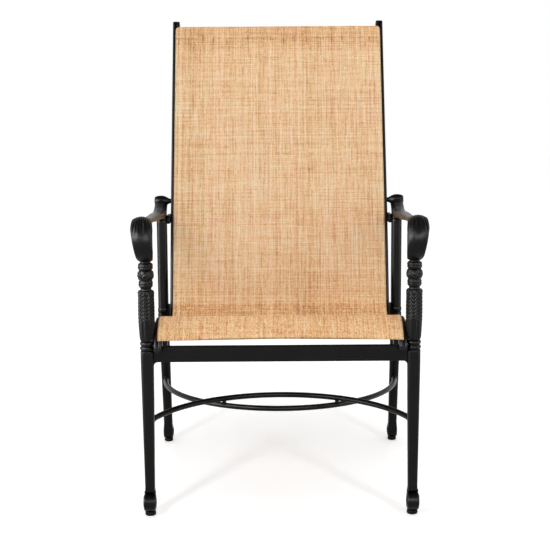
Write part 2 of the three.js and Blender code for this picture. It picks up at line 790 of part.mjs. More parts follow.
// The rail's section: a cut rectangle with a slot in its front face that opens into a round channel.
function railOutline() {
  const mouth = Math.asin(slotWidth / 2 / channelRadius);
  const steps = 7;
  const channel = Array.from({ length: steps + 1 }, (_, i) => {
    const angle = mouth + ((2 * Math.PI - 2 * mouth) * i) / steps;
    return [slotX + channelRadius * Math.sin(angle), channelDepth - channelRadius * Math.cos(angle)];
  });
  return [
    [railOuterX - railCorner, 0], [railOuterX, railCorner], [railOuterX, railDepth - railCorner],
    [railOuterX - railCorner, railDepth], [railInnerX + railCorner, railDepth],
    [railInnerX, railDepth - railCorner], [railInnerX, railCorner], [railInnerX + railCorner, 0],
    [slotX - slotWidth / 2, 0], ...channel.reverse(), [slotX + slotWidth / 2, 0],
  ];
}

function slingRail() {
  const body = alongRail(railOutline(), railCapLength + seat, rail.length - railCapLength - seat);
  const notch = new THREE.BoxGeometry(2 * railOuterX, apronThickness + 2 * seat, apronTopZ);
  notch.translate(0, 0, apronTopZ / 2 + seat);
  const holes = boltsThroughRail.map((place) => boltHole(place, railInnerX - overrun, railOuterX + overrun));
  const sunkHoles = sunkBoltsThroughRail.map((place) => sunkHole(place, railOuterX, railWidth + overrun));
  return cut(body, notch, ...holes, ...sunkHoles);
}

// A plug that closes a rail's end, rounded on its outer side.
function railCap(endS, inwardSign) {
  const outline = cutRectangle(railWidth, railDepth, railCorner);
  const levels = [[0, railCapRim], [railCapRim, 0], [railCapLength, 0]];
  const rings = levels.map(([distance, inset]) => outline.map(([u, v]) => {
    const x = (railOuterX + railInnerX) / 2 + u * (1 - (2 * inset) / railWidth);
    const depth = railDepth / 2 + v * (1 - (2 * inset) / railDepth);
    const [y, z] = rail.point(endS + inwardSign * distance, depth);
    return new THREE.Vector3(x, y, z);
  }));
  const notch = new THREE.BoxGeometry(2 * railOuterX, apronThickness + 2 * seat, apronTopZ);
  notch.translate(0, 0, apronTopZ / 2 + seat);
  return cut(loft(rings, outline), notch);
}

// Sling

const slingFrom = slingFrontInset;
const slingTo = rail.length - slingTopInset;
const hemX = slotX + slingThickness / 2;
const columnShares = [-1, -0.6, -0.2, 0.2, 0.6, 1];

// The sheet lies on the rails' front faces and its edges turn down into the slots.
function slingFabric() {
  const hemDepth = channelDepth - splineRadius - seat;
  const sheetTop = -seat - slingThickness;
  const innerX = hemX - slingThickness;
  const outline = [
    ...columnShares.map((share) => [share * hemX, sheetTop]),
    [hemX, hemDepth], [innerX, hemDepth],
    ...columnShares.map((share) => [-share * innerX, -seat]),
    [-innerX, hemDepth], [-hemX, hemDepth],
  ];
  const stops = rail.stops(slingFrom, slingTo).filter((s) => s === slingFrom || s > slingFrom + slingFrontBow);
  const rings = stops.map((s, i) => outline.map(([x, depth]) => {
    const bow = i === 0 ? slingFrontBow * (1 - (x / hemX) ** 2) : 0;
    const [y, z] = rail.point(s + bow, depth);
    return new THREE.Vector3(x, y, z);
  }));
  return loft(rings, outline);
}

function spline() {
  const outline = circle(splineRadius, 6).map(([u, v]) => [slotX + u, channelDepth + v]);
  return alongRail(outline, slingFrom, slingTo);
}

// Spreader bars run between the rails and bow away from the sling.
function spreader(place) {
  const [y, z] = place;
  const half = railInnerX - seat;
  const outline = circle(spreaderRadius, 10);
  const nearest = rail.stops(0, rail.length).map((s) => {
    const [railY, railZ] = rail.point(s, boltDepth);
    return [Math.hypot(railY - y, railZ - z), s];
  });
  nearest.sort(([a], [b]) => a - b);
  const [backY, backZ] = rail.point(nearest[0][1], boltDepth);
  const [deepY, deepZ] = rail.point(nearest[0][1], boltDepth + spreaderBow);
  const steps = 10;
  const rings = Array.from({ length: steps + 1 }, (_, i) => {
    const share = (2 * i) / steps - 1;
    const bow = 1 - share ** 2;
    return outline.map(([u, v]) => new THREE.Vector3(
      share * half, y + bow * (deepY - backY) + u, z + bow * (deepZ - backZ) + v));
  });
  const bore = boltHole(place, half - boltGrip - boltClearance, half + overrun);
  return cut(loft(rings, outline), bore, mirrored(bore));
}

// Lugs

// A curved plate beside the waterfall, welded to the turned post.
function frontLug() {
  const steps = 8;
  const lerp = THREE.MathUtils.lerp;
  const arc = (depth) => Array.from({ length: steps + 1 }, (_, i) =>
    waterfallPoint(lerp(frontLugStart, frontLugEnd, i / steps), depth));
  const outline = [...arc(0), ...arc(railDepth - railCorner).reverse()];
  const start = railOuterX + seat;
  const plate = plateAlongX(outline, start, start + lugThickness);
  return cut(plate, frontPostBlank(seat), boltHole(frontBolt, start - overrun, start + lugThickness + overrun));
}

// An upright block on the apron, just inside the rail, with a spacer between the two.
const apronLugOuterX = railInnerX - 2 * seat - spacerThickness;

function apronLug() {
  const [boltY, boltZ] = frontBolt;
  const foot = apronTopZ + seat;
  const half = apronThickness / 2;
  const outline = [
    [-half, foot], [half, foot], [boltY + apronLugRadius, boltZ],
    [boltY + apronLugRadius / 2, boltZ + apronLugRadius], [boltY - apronLugRadius / 2, boltZ + apronLugRadius],
    [-half, boltZ + apronLugRadius / 2],
  ];
  const plate = plateAlongX(outline, apronLugOuterX - apronLugThickness, apronLugOuterX);
  return cut(plate, boltHole(frontBolt, apronLugOuterX - apronLugThickness - overrun, apronLugOuterX + overrun));
}

function apronSpacer() {
  const [y, z] = frontBolt;
  const from = apronLugOuterX + seat;
  const ring = rodAlongX(spacerRadius, from, from + spacerThickness, y, z, 12);
  return cut(ring, boltHole(frontBolt, from - overrun, from + spacerThickness + overrun));
}

// A plate from a rear post to the rail's corner. It rests on the rear apron.
function seatLug() {
  const z = apronTopZ - apronDrop + seat + lugRadius;
  const start = railOuterX + seat;
  const outline = linkOutline(seatCornerBolt, lugRadius, [rearLegY(z), z], lugRadius);
  const plate = plateAlongX(outline, start, start + lugThickness);
  const hole = boltHole(seatCornerBolt, start - overrun, start + lugThickness + overrun);
  return cut(plate, rearLegBlank(2 * seat), rearApronBlank(2 * seat), hole);
}

function backLug() {
  const start = railOuterX + seat;
  const end = rearLegX - rearPostSize / 2 - seat;
  const outline = linkOutline(backLugBolt, lugRadius, [rearPostTopY, rearPostTopZ], lugRadius);
  const plate = plateAlongX(outline, start, end);
  return cut(plate, boltHole(backLugBolt, start - overrun, end + overrun));
}

// Fixings
const lugOuterX = railOuterX + seat + lugThickness;
const backLugOuterX = rearLegX - rearPostSize / 2 - seat;
const intoSpreader = railWidth + 2 * seat + boltGrip;

const spreaderBolt = (place) => sunkBolt(place, railOuterX, intoSpreader - seat);
const seatLugBolt = () => bolt(seatCornerBolt, lugOuterX + seat, -1, lugThickness + seat + intoSpreader);
const frontLugBolt = () => {
  const faceX = apronLugOuterX - apronLugThickness - seat;
  return bolt(frontBolt, faceX, 1, frontBoltEndX - faceX);
};
const backLugBoltPiece = () => bolt(backLugBolt, backLugOuterX + seat, -1, backLugOuterX - railInnerX + nutHeight);
const rollBoltPiece = () => bolt(rollBolt, railInnerX - seat, 1, railWidth + 2 * seat + boltGrip);

// A cap nut over the end of the back lug's bolt.
function capNut() {
  const [y, z] = backLugBolt;
  const bore = boltRadius + boltClearance;
  const reach = nutHeight - seat;
  const profile = [
    [bore, 0], [boltHeadRadius, 0], [boltHeadRadius, reach], [boltHeadRadius / 2, reach + boltRadius],
    [0, reach + boltRadius], [0, reach + 2 * seat], [bore, reach + 2 * seat],
  ];
  const inward = [...profile, profile[0]].map(([radius, height]) => [radius, -height]);
  return turnedAlongX(inward, 12, railInnerX - seat, y, z);
}

// Assembly
const chair = new THREE.Group();

function place(parent, name, geometry, material) {
  const mesh = new THREE.Mesh(geometry, material);
  mesh.name = name;
  parent.add(mesh);
}

const sidePieces = [
  ['front_leg', frontLeg(), frameFinish],
  ['front_post', frontPost(), frameFinish],
  ['armrest', armrest(), frameFinish],
  ['rear_leg', rearLeg(), frameFinish],
  ['side_apron', sideApron(), frameFinish],
  ['front_seat_lug', frontLug(), frameFinish],
  ['apron_lug', apronLug(), frameFinish],
  ['rear_seat_lug', seatLug(), frameFinish],
  ['back_lug', backLug(), frameFinish],
  ['sling_rail', slingRail(), frameFinish],
  ['rail_front_cap', railCap(0, 1), plasticFinish],
  ['rail_top_cap', railCap(rail.length, -1), plasticFinish],
  ['sling_spline', spline(), plasticFinish],
  ['front_glide', glide(frontFootX, glideFrontY, glideRadius), plasticFinish],
  ['rear_glide', glide(rearLegX, glideRearY, rearGlideRadius), plasticFinish],
  ['stretcher_weld', stretcherWeld(), frameFinish],
  ['apron_spacer', apronSpacer(), boltFinish],
  ['front_spreader_bolt', spreaderBolt(frontSpreaderBolt), boltFinish],
  ['top_spreader_bolt', spreaderBolt(topSpreaderBolt), boltFinish],
  ['rear_seat_bolt', seatLugBolt(), boltFinish],
  ['front_lug_bolt', frontLugBolt(), boltFinish],
  ['back_lug_bolt', backLugBoltPiece(), boltFinish],
  ['back_lug_nut', capNut(), boltFinish],
  ['arm_bolt', rollBoltPiece(), boltFinish],
];

for (const [side, mirror] of [['left', -1], ['right', 1]]) {
  const half = new THREE.Group();
  half.scale.x = mirror;
  for (const [name, geometry, material] of sidePieces) place(half, `${name}_${side}`, geometry, material());
  chair.add(half);
}

place(chair, 'front_apron', frontApron(), frameFinish());
place(chair, 'rear_apron', rearApron(), frameFinish());
place(chair, 'front_stretcher', frontStretcher(), frameFinish());
place(chair, 'rear_stretcher', rearStretcher(), frameFinish());
place(chair, 'front_spreader', spreader(frontSpreaderBolt), frameFinish());
place(chair, 'seat_corner_spreader', spreader(seatCornerBolt), frameFinish());
place(chair, 'top_spreader', spreader(topSpreaderBolt), frameFinish());
place(chair, 'sling_fabric', slingFabric(), slingFinish());

// The origin is on the floor under the middle of the chair's outline.
const outlineBox = new THREE.Box3().setFromObject(chair);
chair.position.y = -(outlineBox.min.y + outlineBox.max.y) / 2;

export default chair;
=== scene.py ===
from math import acos, asin, atan2, copysign, cos, exp, pi, radians as rad, sin, sqrt, tan

import bmesh
import bpy
import numpy as np
from mathutils import Matrix, Vector

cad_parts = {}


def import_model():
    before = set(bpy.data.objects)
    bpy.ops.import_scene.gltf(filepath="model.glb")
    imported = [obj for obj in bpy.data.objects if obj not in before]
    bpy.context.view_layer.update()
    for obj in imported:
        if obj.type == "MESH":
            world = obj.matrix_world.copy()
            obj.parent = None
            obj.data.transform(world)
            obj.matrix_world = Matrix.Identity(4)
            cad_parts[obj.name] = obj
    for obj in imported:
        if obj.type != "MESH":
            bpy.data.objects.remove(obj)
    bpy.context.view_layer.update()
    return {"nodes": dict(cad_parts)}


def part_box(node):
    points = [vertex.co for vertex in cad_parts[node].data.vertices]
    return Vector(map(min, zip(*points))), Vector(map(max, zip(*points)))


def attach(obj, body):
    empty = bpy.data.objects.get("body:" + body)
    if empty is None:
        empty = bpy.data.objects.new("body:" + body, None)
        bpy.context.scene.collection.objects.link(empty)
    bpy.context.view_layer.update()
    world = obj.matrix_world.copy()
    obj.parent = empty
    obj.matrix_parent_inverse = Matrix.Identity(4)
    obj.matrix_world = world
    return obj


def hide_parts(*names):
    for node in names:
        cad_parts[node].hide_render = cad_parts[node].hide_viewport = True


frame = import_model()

# Lengths are in millimetres and depths are measured from the front legs, as in the part's source.
# Body.mesh() turns them into metres in the part's frame.
MM = 0.001
GLIDE_AHEAD = 0.6  # from the front legs' middle to the front glides' middle
glide_low, glide_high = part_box("front_glide_left")
SHIFT = (glide_low.y + glide_high.y) / 2 / MM + GLIDE_AHEAD
SIDES = (("left", -1), ("right", 1))

# The part's own sizes
FRONT_FOOT_X, POST_TOP_X, REAR_LEG_X = 288.3, 287.0, 291.5
REAR_KNEE_Z, REAR_SPLAY, REAR_LEAN, REAR_TOP_Z = 358.0, 76.0, 6.0, 592.0
LEG_TOP_Z, APRON_TOP_Z = 371.0, 380.8
# Each leg: its width at the ankle, the ankle's height, and its width at the top
FRONT_ANKLE, FRONT_ANKLE_Z, FRONT_SIZE = 21.4, 61.0, 28.2
REAR_ANKLE, REAR_ANKLE_Z, REAR_SIZE = 22.2, 47.0, 25.6
RAIL_OUTER, RAIL_WIDTH, RAIL_DEPTH = 272.0, 17.5, 22.0
RAIL_INNER = RAIL_OUTER - RAIL_WIDTH
RAIL_MIDDLE = (RAIL_OUTER + RAIL_INNER) / 2
SLOT_IN, SLOT_HALF, CHANNEL_R, CHANNEL_DEPTH, CORD_R = 6.3, 1.5, 3.6, 6.3, 3.2
SLOT_X = RAIL_OUTER - SLOT_IN - SLOT_HALF
GLIDE_TALL, STEM_R, STEM_TOP_Z = 10.7, 3.6, 23.5
SPREADER_R, SPREADER_BOW = 9.5, 16.0
SEAM = 0.3  # between two pieces that rest against each other


# Side profile of the rails
class Profile:
    def __init__(self, y, z, heading, moves):
        self.parts, self.length = [], 0.0
        for kind, a, b in moves:
            span = a if kind == "run" else abs(a) * b
            bend = 0.0 if kind == "run" else copysign(1, a) / b
            self.parts.append((self.length, y, z, heading, bend))
            y, z, heading = self.step(self.parts[-1], span)
            self.length += span

    @staticmethod
    def step(part, d):
        _, y, z, h, bend = part
        if not bend:
            return y + d * cos(h), z + d * sin(h), h
        t = h + bend * d
        return y + (sin(t) - sin(h)) / bend, z - (cos(t) - cos(h)) / bend, t

    def point(self, s, depth):
        part = [p for p in self.parts if s >= p[0]][-1]
        y, z, h = self.step(part, s - part[0])
        return y + depth * sin(h), z - depth * cos(h)


FRONT_ANGLE, SEAT_SLOPE, LOWER_BACK, UPPER_BACK = rad(9.6), rad(13.5), rad(18.6), rad(22.9)
FALL_R, CORNER_R, BEND_R = 75.0, 60.0, 1500.0
SEAT_RUN, LOWER_RUN, UPPER_RUN = 358.7, 259.9, 528.2
RAIL_FRONT_Y, RAIL_FRONT_Z = -21.95, APRON_TOP_Z - 11.3
corner_turn, bend_turn = SEAT_SLOPE + pi / 2 - LOWER_BACK, UPPER_BACK - LOWER_BACK
corner_tan, bend_tan = CORNER_R * tan(corner_turn / 2), BEND_R * tan(bend_turn / 2)
rail = Profile(RAIL_FRONT_Y, RAIL_FRONT_Z, pi / 2 - FRONT_ANGLE, [
    ("turn", FRONT_ANGLE - pi / 2 - SEAT_SLOPE, FALL_R),
    ("run", SEAT_RUN - corner_tan, 0),
    ("turn", corner_turn, CORNER_R),
    ("run", LOWER_RUN - corner_tan - bend_tan, 0),
    ("turn", -bend_turn, BEND_R),
    ("run", UPPER_RUN - bend_tan, 0),
])
SEAT_START, CORNER_START, BACK_START = rail.parts[1][0], rail.parts[2][0], rail.parts[3][0]
CORNER_MIDDLE = (CORNER_START + BACK_START) / 2
FRONT_SPREADER_S, TOP_SPREADER_S = SEAT_START + 42.0, rail.length - 125.0
RAIL_FROM, RAIL_TO = 12.0, rail.length - 4.3
SHEET_FROM, SHEET_TO = 26.5, rail.length - 16.7
BOLT_DEPTH = 15.0
REAR_KNEE_Y = rail.point(CORNER_MIDDLE, BOLT_DEPTH)[0] + 51.75


def rear_leg_y(z):
    if z < REAR_KNEE_Z:
        return REAR_KNEE_Y + REAR_SPLAY * (1 - z / REAR_KNEE_Z)
    return REAR_KNEE_Y + REAR_LEAN * (z - REAR_KNEE_Z) / (REAR_TOP_Z - REAR_KNEE_Z)


RINGS_TALL, VASE_TALL, NECK_TALL, BEAD_TALL, OVALS_TALL = 20.8, 111.9, 6.3, 14.8, 22.8
POST_TOP_Z = LEG_TOP_Z + SEAM + RINGS_TALL + VASE_TALL + NECK_TALL + 2 * BEAD_TALL + OVALS_TALL
LEAN = (FRONT_FOOT_X - POST_TOP_X) / POST_TOP_Z
SCROLL_R, COLLAR_TALL = 46.0, 10.3
SCROLL_Z = POST_TOP_Z + COLLAR_TALL + SCROLL_R


# Small maths
def circle(count):
    """Angles all the way round."""
    return np.linspace(0, 2 * pi, count, endpoint=False)


def crossing(low, high, reached):
    """Where the test named reached begins to hold, between two values."""
    for _ in range(40):
        middle = (low + high) / 2
        low, high = (low, middle) if reached(middle) else (middle, high)
    return low


def smooth(a, b, x):
    t = np.clip((np.asarray(x, float) - a) / (b - a), 0, 1)
    return t * t * (3 - 2 * t)


def curve(x, xs, ys):
    """A smooth curve through points, without overshoot."""
    xs, ys = np.asarray(xs, float), np.asarray(ys, float)
    h, d = np.diff(xs), np.diff(ys) / np.diff(xs)
    m = np.zeros(len(xs))
    same = d[1:] * d[:-1] > 0
    w1, w2 = 2 * h[1:] + h[:-1], h[1:] + 2 * h[:-1]
    with np.errstate(divide="ignore", invalid="ignore"):
        m[1:-1] = np.where(same, (w1 + w2) / (w1 / d[:-1] + w2 / d[1:]), 0)
    m[0], m[-1] = d[0], d[-1]
    x = np.clip(x, xs[0], xs[-1])
    i = np.clip(np.searchsorted(xs, x, side="right") - 1, 0, len(h) - 1)
    t = (x - xs[i]) / h[i]
    return ((1 + 2 * t) * (1 - t) ** 2 * ys[i] + t * (1 - t) ** 2 * h[i] * m[i]
            + t * t * (3 - 2 * t) * ys[i + 1] + t * t * (t - 1) * h[i] * m[i + 1])


def spline(knots, count):
    """Points spaced along a smooth curve through rows of numbers; the first three are a place."""
    knots = np.asarray(knots, float)
    steps = np.linalg.norm(np.diff(knots[:, :3], axis=0), axis=1)
    at = np.concatenate([[0], np.cumsum(steps)])
    x = np.linspace(0, at[-1], count)
    return np.stack([curve(x, at, knots[:, k]) for k in range(knots.shape[1])], axis=1)


def square_to(t):
    """Two directions square to one that runs about level: to its side, and upwards."""
    side = np.cross(t, [0, 0, 1.0])
    side /= np.linalg.norm(side)
    return side, np.cross(side, t)


def bulged(ring, share):
    """An outline whose faces are a little round: each edge falls away from its face's middle."""
    u, v = ring[:, 0], ring[:, 1]
    wide, deep = np.abs(u).max(), np.abs(v).max()
    return np.stack([u * (1 - share * (v / deep) ** 2), v * (1 - share * (u / wide) ** 2)], axis=1)


def round_rect(w, d, r, arc=5, across=8, upright=4):
    """Outline points of a rectangle with round corners."""
    out = []
    for k, (sx, sy) in enumerate([(1, -1), (1, 1), (-1, 1), (-1, -1)]):
        cx, cy = sx * (w / 2 - r), sy * (d / 2 - r)
        for i in range(arc + 1):
            a = -pi / 2 + k * pi / 2 + (pi / 2) * i / arc
            out.append((cx + r * cos(a), cy + r * sin(a)))
        steps = upright if k % 2 == 0 else across
        length = (d if k % 2 == 0 else w) - 2 * r
        dx, dy = [(0, 1), (-1, 0), (0, -1), (1, 0)][k]
        x0, y0 = out[-1]
        out += [(x0 + dx * length * j / steps, y0 + dy * length * j / steps) for j in range(1, steps)]
    return np.array(out)


# Meshes
AXIS_R = 0.02  # a turned shell closes at this radius
SHARP = 38  # an edge with more degrees than this shades as an edge


class Body:
    """Closed shells that become one piece."""

    def __init__(self):
        self.points, self.faces, self.count = [], [], 0

    def add(self, points, faces):
        points = np.asarray(points, float).reshape(-1, 3)
        self.points.append(points)
        self.faces += [tuple(i + self.count for i in f) for f in faces]
        self.count += len(points)
        return self

    def rings(self, rings, closed=False):
        rings = np.asarray(rings, float)
        r, n = rings.shape[:2]
        faces = [(k * n + i, k * n + (i + 1) % n, (k + 1) % r * n + (i + 1) % n, (k + 1) % r * n + i)
                 for k in range(r if closed else r - 1) for i in range(n)]
        if not closed:
            faces += [tuple(reversed(range(n))), tuple((r - 1) * n + i for i in range(n))]
        return self.add(rings, faces)

    def turned(self, profile, centre, axis="z", sides=40):
        """A turned shell. profile is [radius, height]; a radius may have its own value for each side."""
        angle = circle(sides)
        rows = []
        for radius, height in profile:
            r = np.maximum(np.broadcast_to(radius, sides), AXIS_R)
            a, b, c = r * np.cos(angle), r * np.sin(angle), np.full(sides, float(height))
            rows.append(np.stack({"z": (a, b, c), "x": (c, a, b)}[axis], axis=1) + np.asarray(centre))
        return self.rings(rows)

    def tube(self, path, radius, sides):
        """A round tube along points that run about level."""
        angle = circle(sides)[:, None]
        rows = []
        for p, t in zip(path, np.gradient(np.asarray(path, float), axis=0)):
            side, rise = square_to(t / np.linalg.norm(t))
            rows.append(p + radius * (np.cos(angle) * side + np.sin(angle) * rise))
        return self.rings(rows)

    def mirrored(self, sign):
        return Body().add(np.concatenate(self.points) * [sign, 1, 1], self.faces)

    def mesh(self, name):
        made = bpy.data.meshes.new(name)
        made.from_pydata(((np.concatenate(self.points) + [0, SHIFT, 0]) * MM).tolist(), [], self.faces)
        return made


def put(node, kind, body, slot, sharp=SHARP):
    """Makes the piece that stands for a node of the part."""
    name = f"{node}_{kind}"
    return finish_piece(name, body.mesh(name), slot, node, sharp)


def face_out(mesh):
    bm = bmesh.new()
    bm.from_mesh(mesh)
    bmesh.ops.recalc_face_normals(bm, faces=bm.faces)
    bm.to_mesh(mesh)
    bm.free()


def show(name, mesh):
    obj = bpy.data.objects.new(name, mesh)
    bpy.context.scene.collection.objects.link(obj)
    return obj


def finish_piece(name, mesh, slot, node, sharp):
    face_out(mesh)
    mesh.shade_smooth()
    mesh.set_sharp_from_angle(angle=rad(sharp))
    obj = show(name, mesh)
    mesh.materials.append(MATERIAL[slot])
    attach(obj, "root")
    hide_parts(node)
    return obj


def eased(node, width, slot, segments=3):
    """The part's own solid with its hard edges rounded over."""
    mesh = frame["nodes"][node].data.copy()
    hard = 30
    bm = bmesh.new()
    bm.from_mesh(mesh)
    bmesh.ops.remove_doubles(bm, verts=bm.verts, dist=2e-6)
    bmesh.ops.dissolve_limit(bm, angle_limit=rad(2), verts=bm.verts, edges=bm.edges)
    edges = [e for e in bm.edges if len(e.link_faces) == 2 and e.calc_face_angle(0) > rad(hard)]
    bmesh.ops.bevel(bm, geom=edges, offset=width * MM, segments=segments, profile=0.5,
                    affect="EDGES", clamp_overlap=True)
    bm.to_mesh(mesh)
    bm.free()
    mesh.materials.clear()
    mesh.name = node + "_eased"
    return finish_piece(mesh.name, mesh, slot, node, hard)


def carve(obj, body):
    """Cuts the shape of a Body out of a piece."""
    tool = body.mesh("tool")
    face_out(tool)
    cutter = show("tool", tool)
    mod = obj.modifiers.new("cut", "BOOLEAN")
    mod.operation, mod.solver, mod.object = "DIFFERENCE", "EXACT", cutter
    bpy.context.view_layer.update()
    made = bpy.data.meshes.new_from_object(obj.evaluated_get(bpy.context.evaluated_depsgraph_get()))
    obj.modifiers.clear()
    obj.data = made
    made.set_sharp_from_angle(angle=rad(SHARP))
    bpy.data.objects.remove(cutter)


# Materials
class Wire:
    """What a node puts out, which plus, minus, times and so on feed into more nodes."""

    def __init__(self, nodes, socket):
        self.nodes, self.socket = nodes, socket

    def __add__(self, other):
        return self.nodes.math("ADD", self, other)

    def __sub__(self, other):
        return self.nodes.math("SUBTRACT", self, other)

    def __rsub__(self, other):
        return self.nodes.math("SUBTRACT", other, self)

    def __mul__(self, other):
        return self.nodes.math("MULTIPLY", self, other)

    def __truediv__(self, other):
        return self.nodes.math("DIVIDE", self, other)

    def __abs__(self):
        return self.nodes.math("ABSOLUTE", self)


class Nodes:
    """A node tree. In its inputs a tuple is a colour."""

    def __init__(self, tree):
        self.tree = tree

    def link(self, value, socket):
        if isinstance(value, Wire):
            self.tree.links.new(value.socket, socket)
        else:
            socket.default_value = (*value, 1) if isinstance(value, tuple) else value

    def add(self, kind, inputs, output=0, **settings):
        made = self.tree.nodes.new(kind)
        for name, value in settings.items():
            setattr(made, name, value)
        for name, value in inputs.items():
            self.link(value, made.inputs[name])
        return Wire(self, made.outputs[output])

    def math(self, operation, *values):
        return self.add("ShaderNodeMath", dict(enumerate(values)), operation=operation)

    def xyz(self, x, y, z=0.0):
        return self.add("ShaderNodeCombineXYZ", {0: x, 1: y, 2: z})

    def noise(self, vector, scale, detail=2.0, rough=0.5):
        inputs = {"Vector": vector, "Scale": scale, "Detail": detail, "Roughness": rough}
        return self.add("ShaderNodeTexNoise", inputs, "Fac")

    def white(self, value, salt):
        inputs = {"Vector": self.xyz(value, salt)}
        return self.add("ShaderNodeTexWhiteNoise", inputs, "Value", noise_dimensions="2D")

    def spread(self, value, low, high, to_low, to_high, **settings):
        inputs = dict(enumerate((value, low, high, to_low, to_high)))
        return self.add("ShaderNodeMapRange", inputs, "Result", **settings)

    def ramp(self, value, stops):
        wire = self.add("ShaderNodeValToRGB", {0: value}, "Color")
        ends = wire.socket.node.color_ramp.elements
        for i, (at, colour) in enumerate(stops):
            stop = ends[i] if i < 2 else ends.new(at)
            stop.position, stop.color = at, (*colour, 1)
        return wire

    def mix(self, factor, a, b, blend="MIX"):
        inputs = {"Factor": factor, "A": a, "B": b}
        return self.add("ShaderNodeMix", inputs, "Result", data_type="RGBA", blend_type=blend)

    def bump(self, height, strength, distance, **more):
        inputs = {"Height": height, "Strength": strength, "Distance": distance, **more}
        return self.add("ShaderNodeBump", inputs, "Normal")

    def ray(self, output):
        return self.add("ShaderNodeLightPath", {}, output)

    def seen(self):
        """1 for rays that show a surface, straight or in a reflection, and 0 for those that light one."""
        mirrored = self.math("MAXIMUM", self.ray("Is Glossy Ray"), self.ray("Is Transmission Ray"))
        return self.math("MAXIMUM", self.ray("Is Camera Ray"), mirrored)


class Shader(Nodes):
    """A material's node tree."""

    def __init__(self, name):
        self.material = bpy.data.materials.new(name)
        self.material.use_nodes = True
        super().__init__(self.material.node_tree)

    def place(self):
        return self.add("ShaderNodeTexCoord", {}, "Object")

    def fill(self, **values):
        for name, value in values.items():
            self.link(value, self.tree.nodes["Principled BSDF"].inputs[name.replace("_", " ")])
        return self.material


def linear(code):
    """A colour written as six hexadecimal digits, in linear light."""
    parts = [int(code[i:i + 2], 16) / 255 for i in (0, 2, 4)]
    return tuple(c / 12.92 if c <= 0.04045 else ((c + 0.055) / 1.055) ** 2.4 for c in parts)


def powder_coat():
    s = Shader("black_powder_coat")
    at = s.place()
    clouds = [(0.3, (0.0010, 0.0010, 0.0011)), (0.75, (0.0026, 0.0024, 0.0023))]
    grain = s.noise(at, 900.0, 2.0, 0.6)
    rough = s.spread(s.noise(at, 26.0, 4.0), 0.3, 0.7, 0.27, 0.35) + grain * 0.05
    fine = s.bump(grain, 0.10, 0.0004)
    slow = s.bump(s.noise(at, 60.0, 2.0), 0.05, 0.002, Normal=fine)
    return s.fill(Base_Color=s.ramp(s.noise(at, 9.0, 3.0), clouds), Roughness=rough, Normal=slow,
                  Specular_IOR_Level=0.10)


def dull_plastic():
    s = Shader("matt_black_plastic")
    at = s.place()
    clouds = [(0.3, (0.004, 0.004, 0.004)), (0.8, (0.009, 0.0085, 0.008))]
    rough = s.spread(s.noise(at, 220.0, 3.0), 0.3, 0.7, 0.5, 0.68)
    return s.fill(Base_Color=s.ramp(s.noise(at, 40.0, 3.0), clouds), Roughness=rough,
                  Normal=s.bump(s.noise(at, 700.0, 3.0), 0.2, 0.0004), Specular_IOR_Level=0.05)


def dark_steel():
    s = Shader("blackened_steel")
    at = s.place()
    clouds = [(0.3, (0.012, 0.012, 0.013)), (0.8, (0.035, 0.033, 0.032))]
    stretched = s.add("ShaderNodeMapping", {"Vector": at})
    stretched.socket.node.inputs["Scale"].default_value = (60.0, 900.0, 900.0)
    lines = s.noise(stretched, 1.0, 3.0)
    rough = s.spread(lines, 0.3, 0.7, 0.28, 0.5)
    return s.fill(Base_Color=s.ramp(s.noise(at, 120.0, 3.0), clouds), Roughness=rough,
                  Normal=s.bump(lines, 0.15, 0.0002), Metallic=0.85)


# Sizes in the cloth, in metres
YARN = 0.0017  # from one yarn to the next
HEM = 0.0322  # from an end of the sheet to the seam of its hem
TUCK = 0.031  # from one small tuck in the top seam to the next, on average
STITCH = 0.0042  # from one stitch to the next


def yarns(s, across, along, seat, salt, amount):
    """Yarns side by side. Gives their number, tone, round back and hue."""
    at = across / YARN
    index = s.math("FLOOR", at)
    own = s.white(index, salt)
    # each yarn changes its tone about every 50 mm, and has longer and shorter slubs
    piece = s.white(s.math("FLOOR", along * 21.0 + own * 37.0) + index * 3.17, salt + 2)

    def streaks(step, rate, more, detail):
        return s.noise(s.xyz(index * step, along * rate, salt + more), 1.0, detail)

    long, short = streaks(7.31, 30.0, 0, 2.0), streaks(3.77, 130.0, 5, 1.0)
    tone = (own - 0.5) * 0.38 + (piece - 0.5) * 0.42 + (long - 0.5) * 0.70 + (short - 0.5) * (seat + 0.72)
    # short dark slubs on a few yarns
    tone = tone - s.spread(streaks(9.13, 95.0, 9, 0.0), 0.76, 0.88, 0.0, 0.50)
    # the back is 0 at the yarn's sides and 1 in the middle
    back = s.math("SINE", (at - index) * pi)
    return index, tone * amount, back, s.white(index, salt + 3) * 0.6 + piece * 0.4


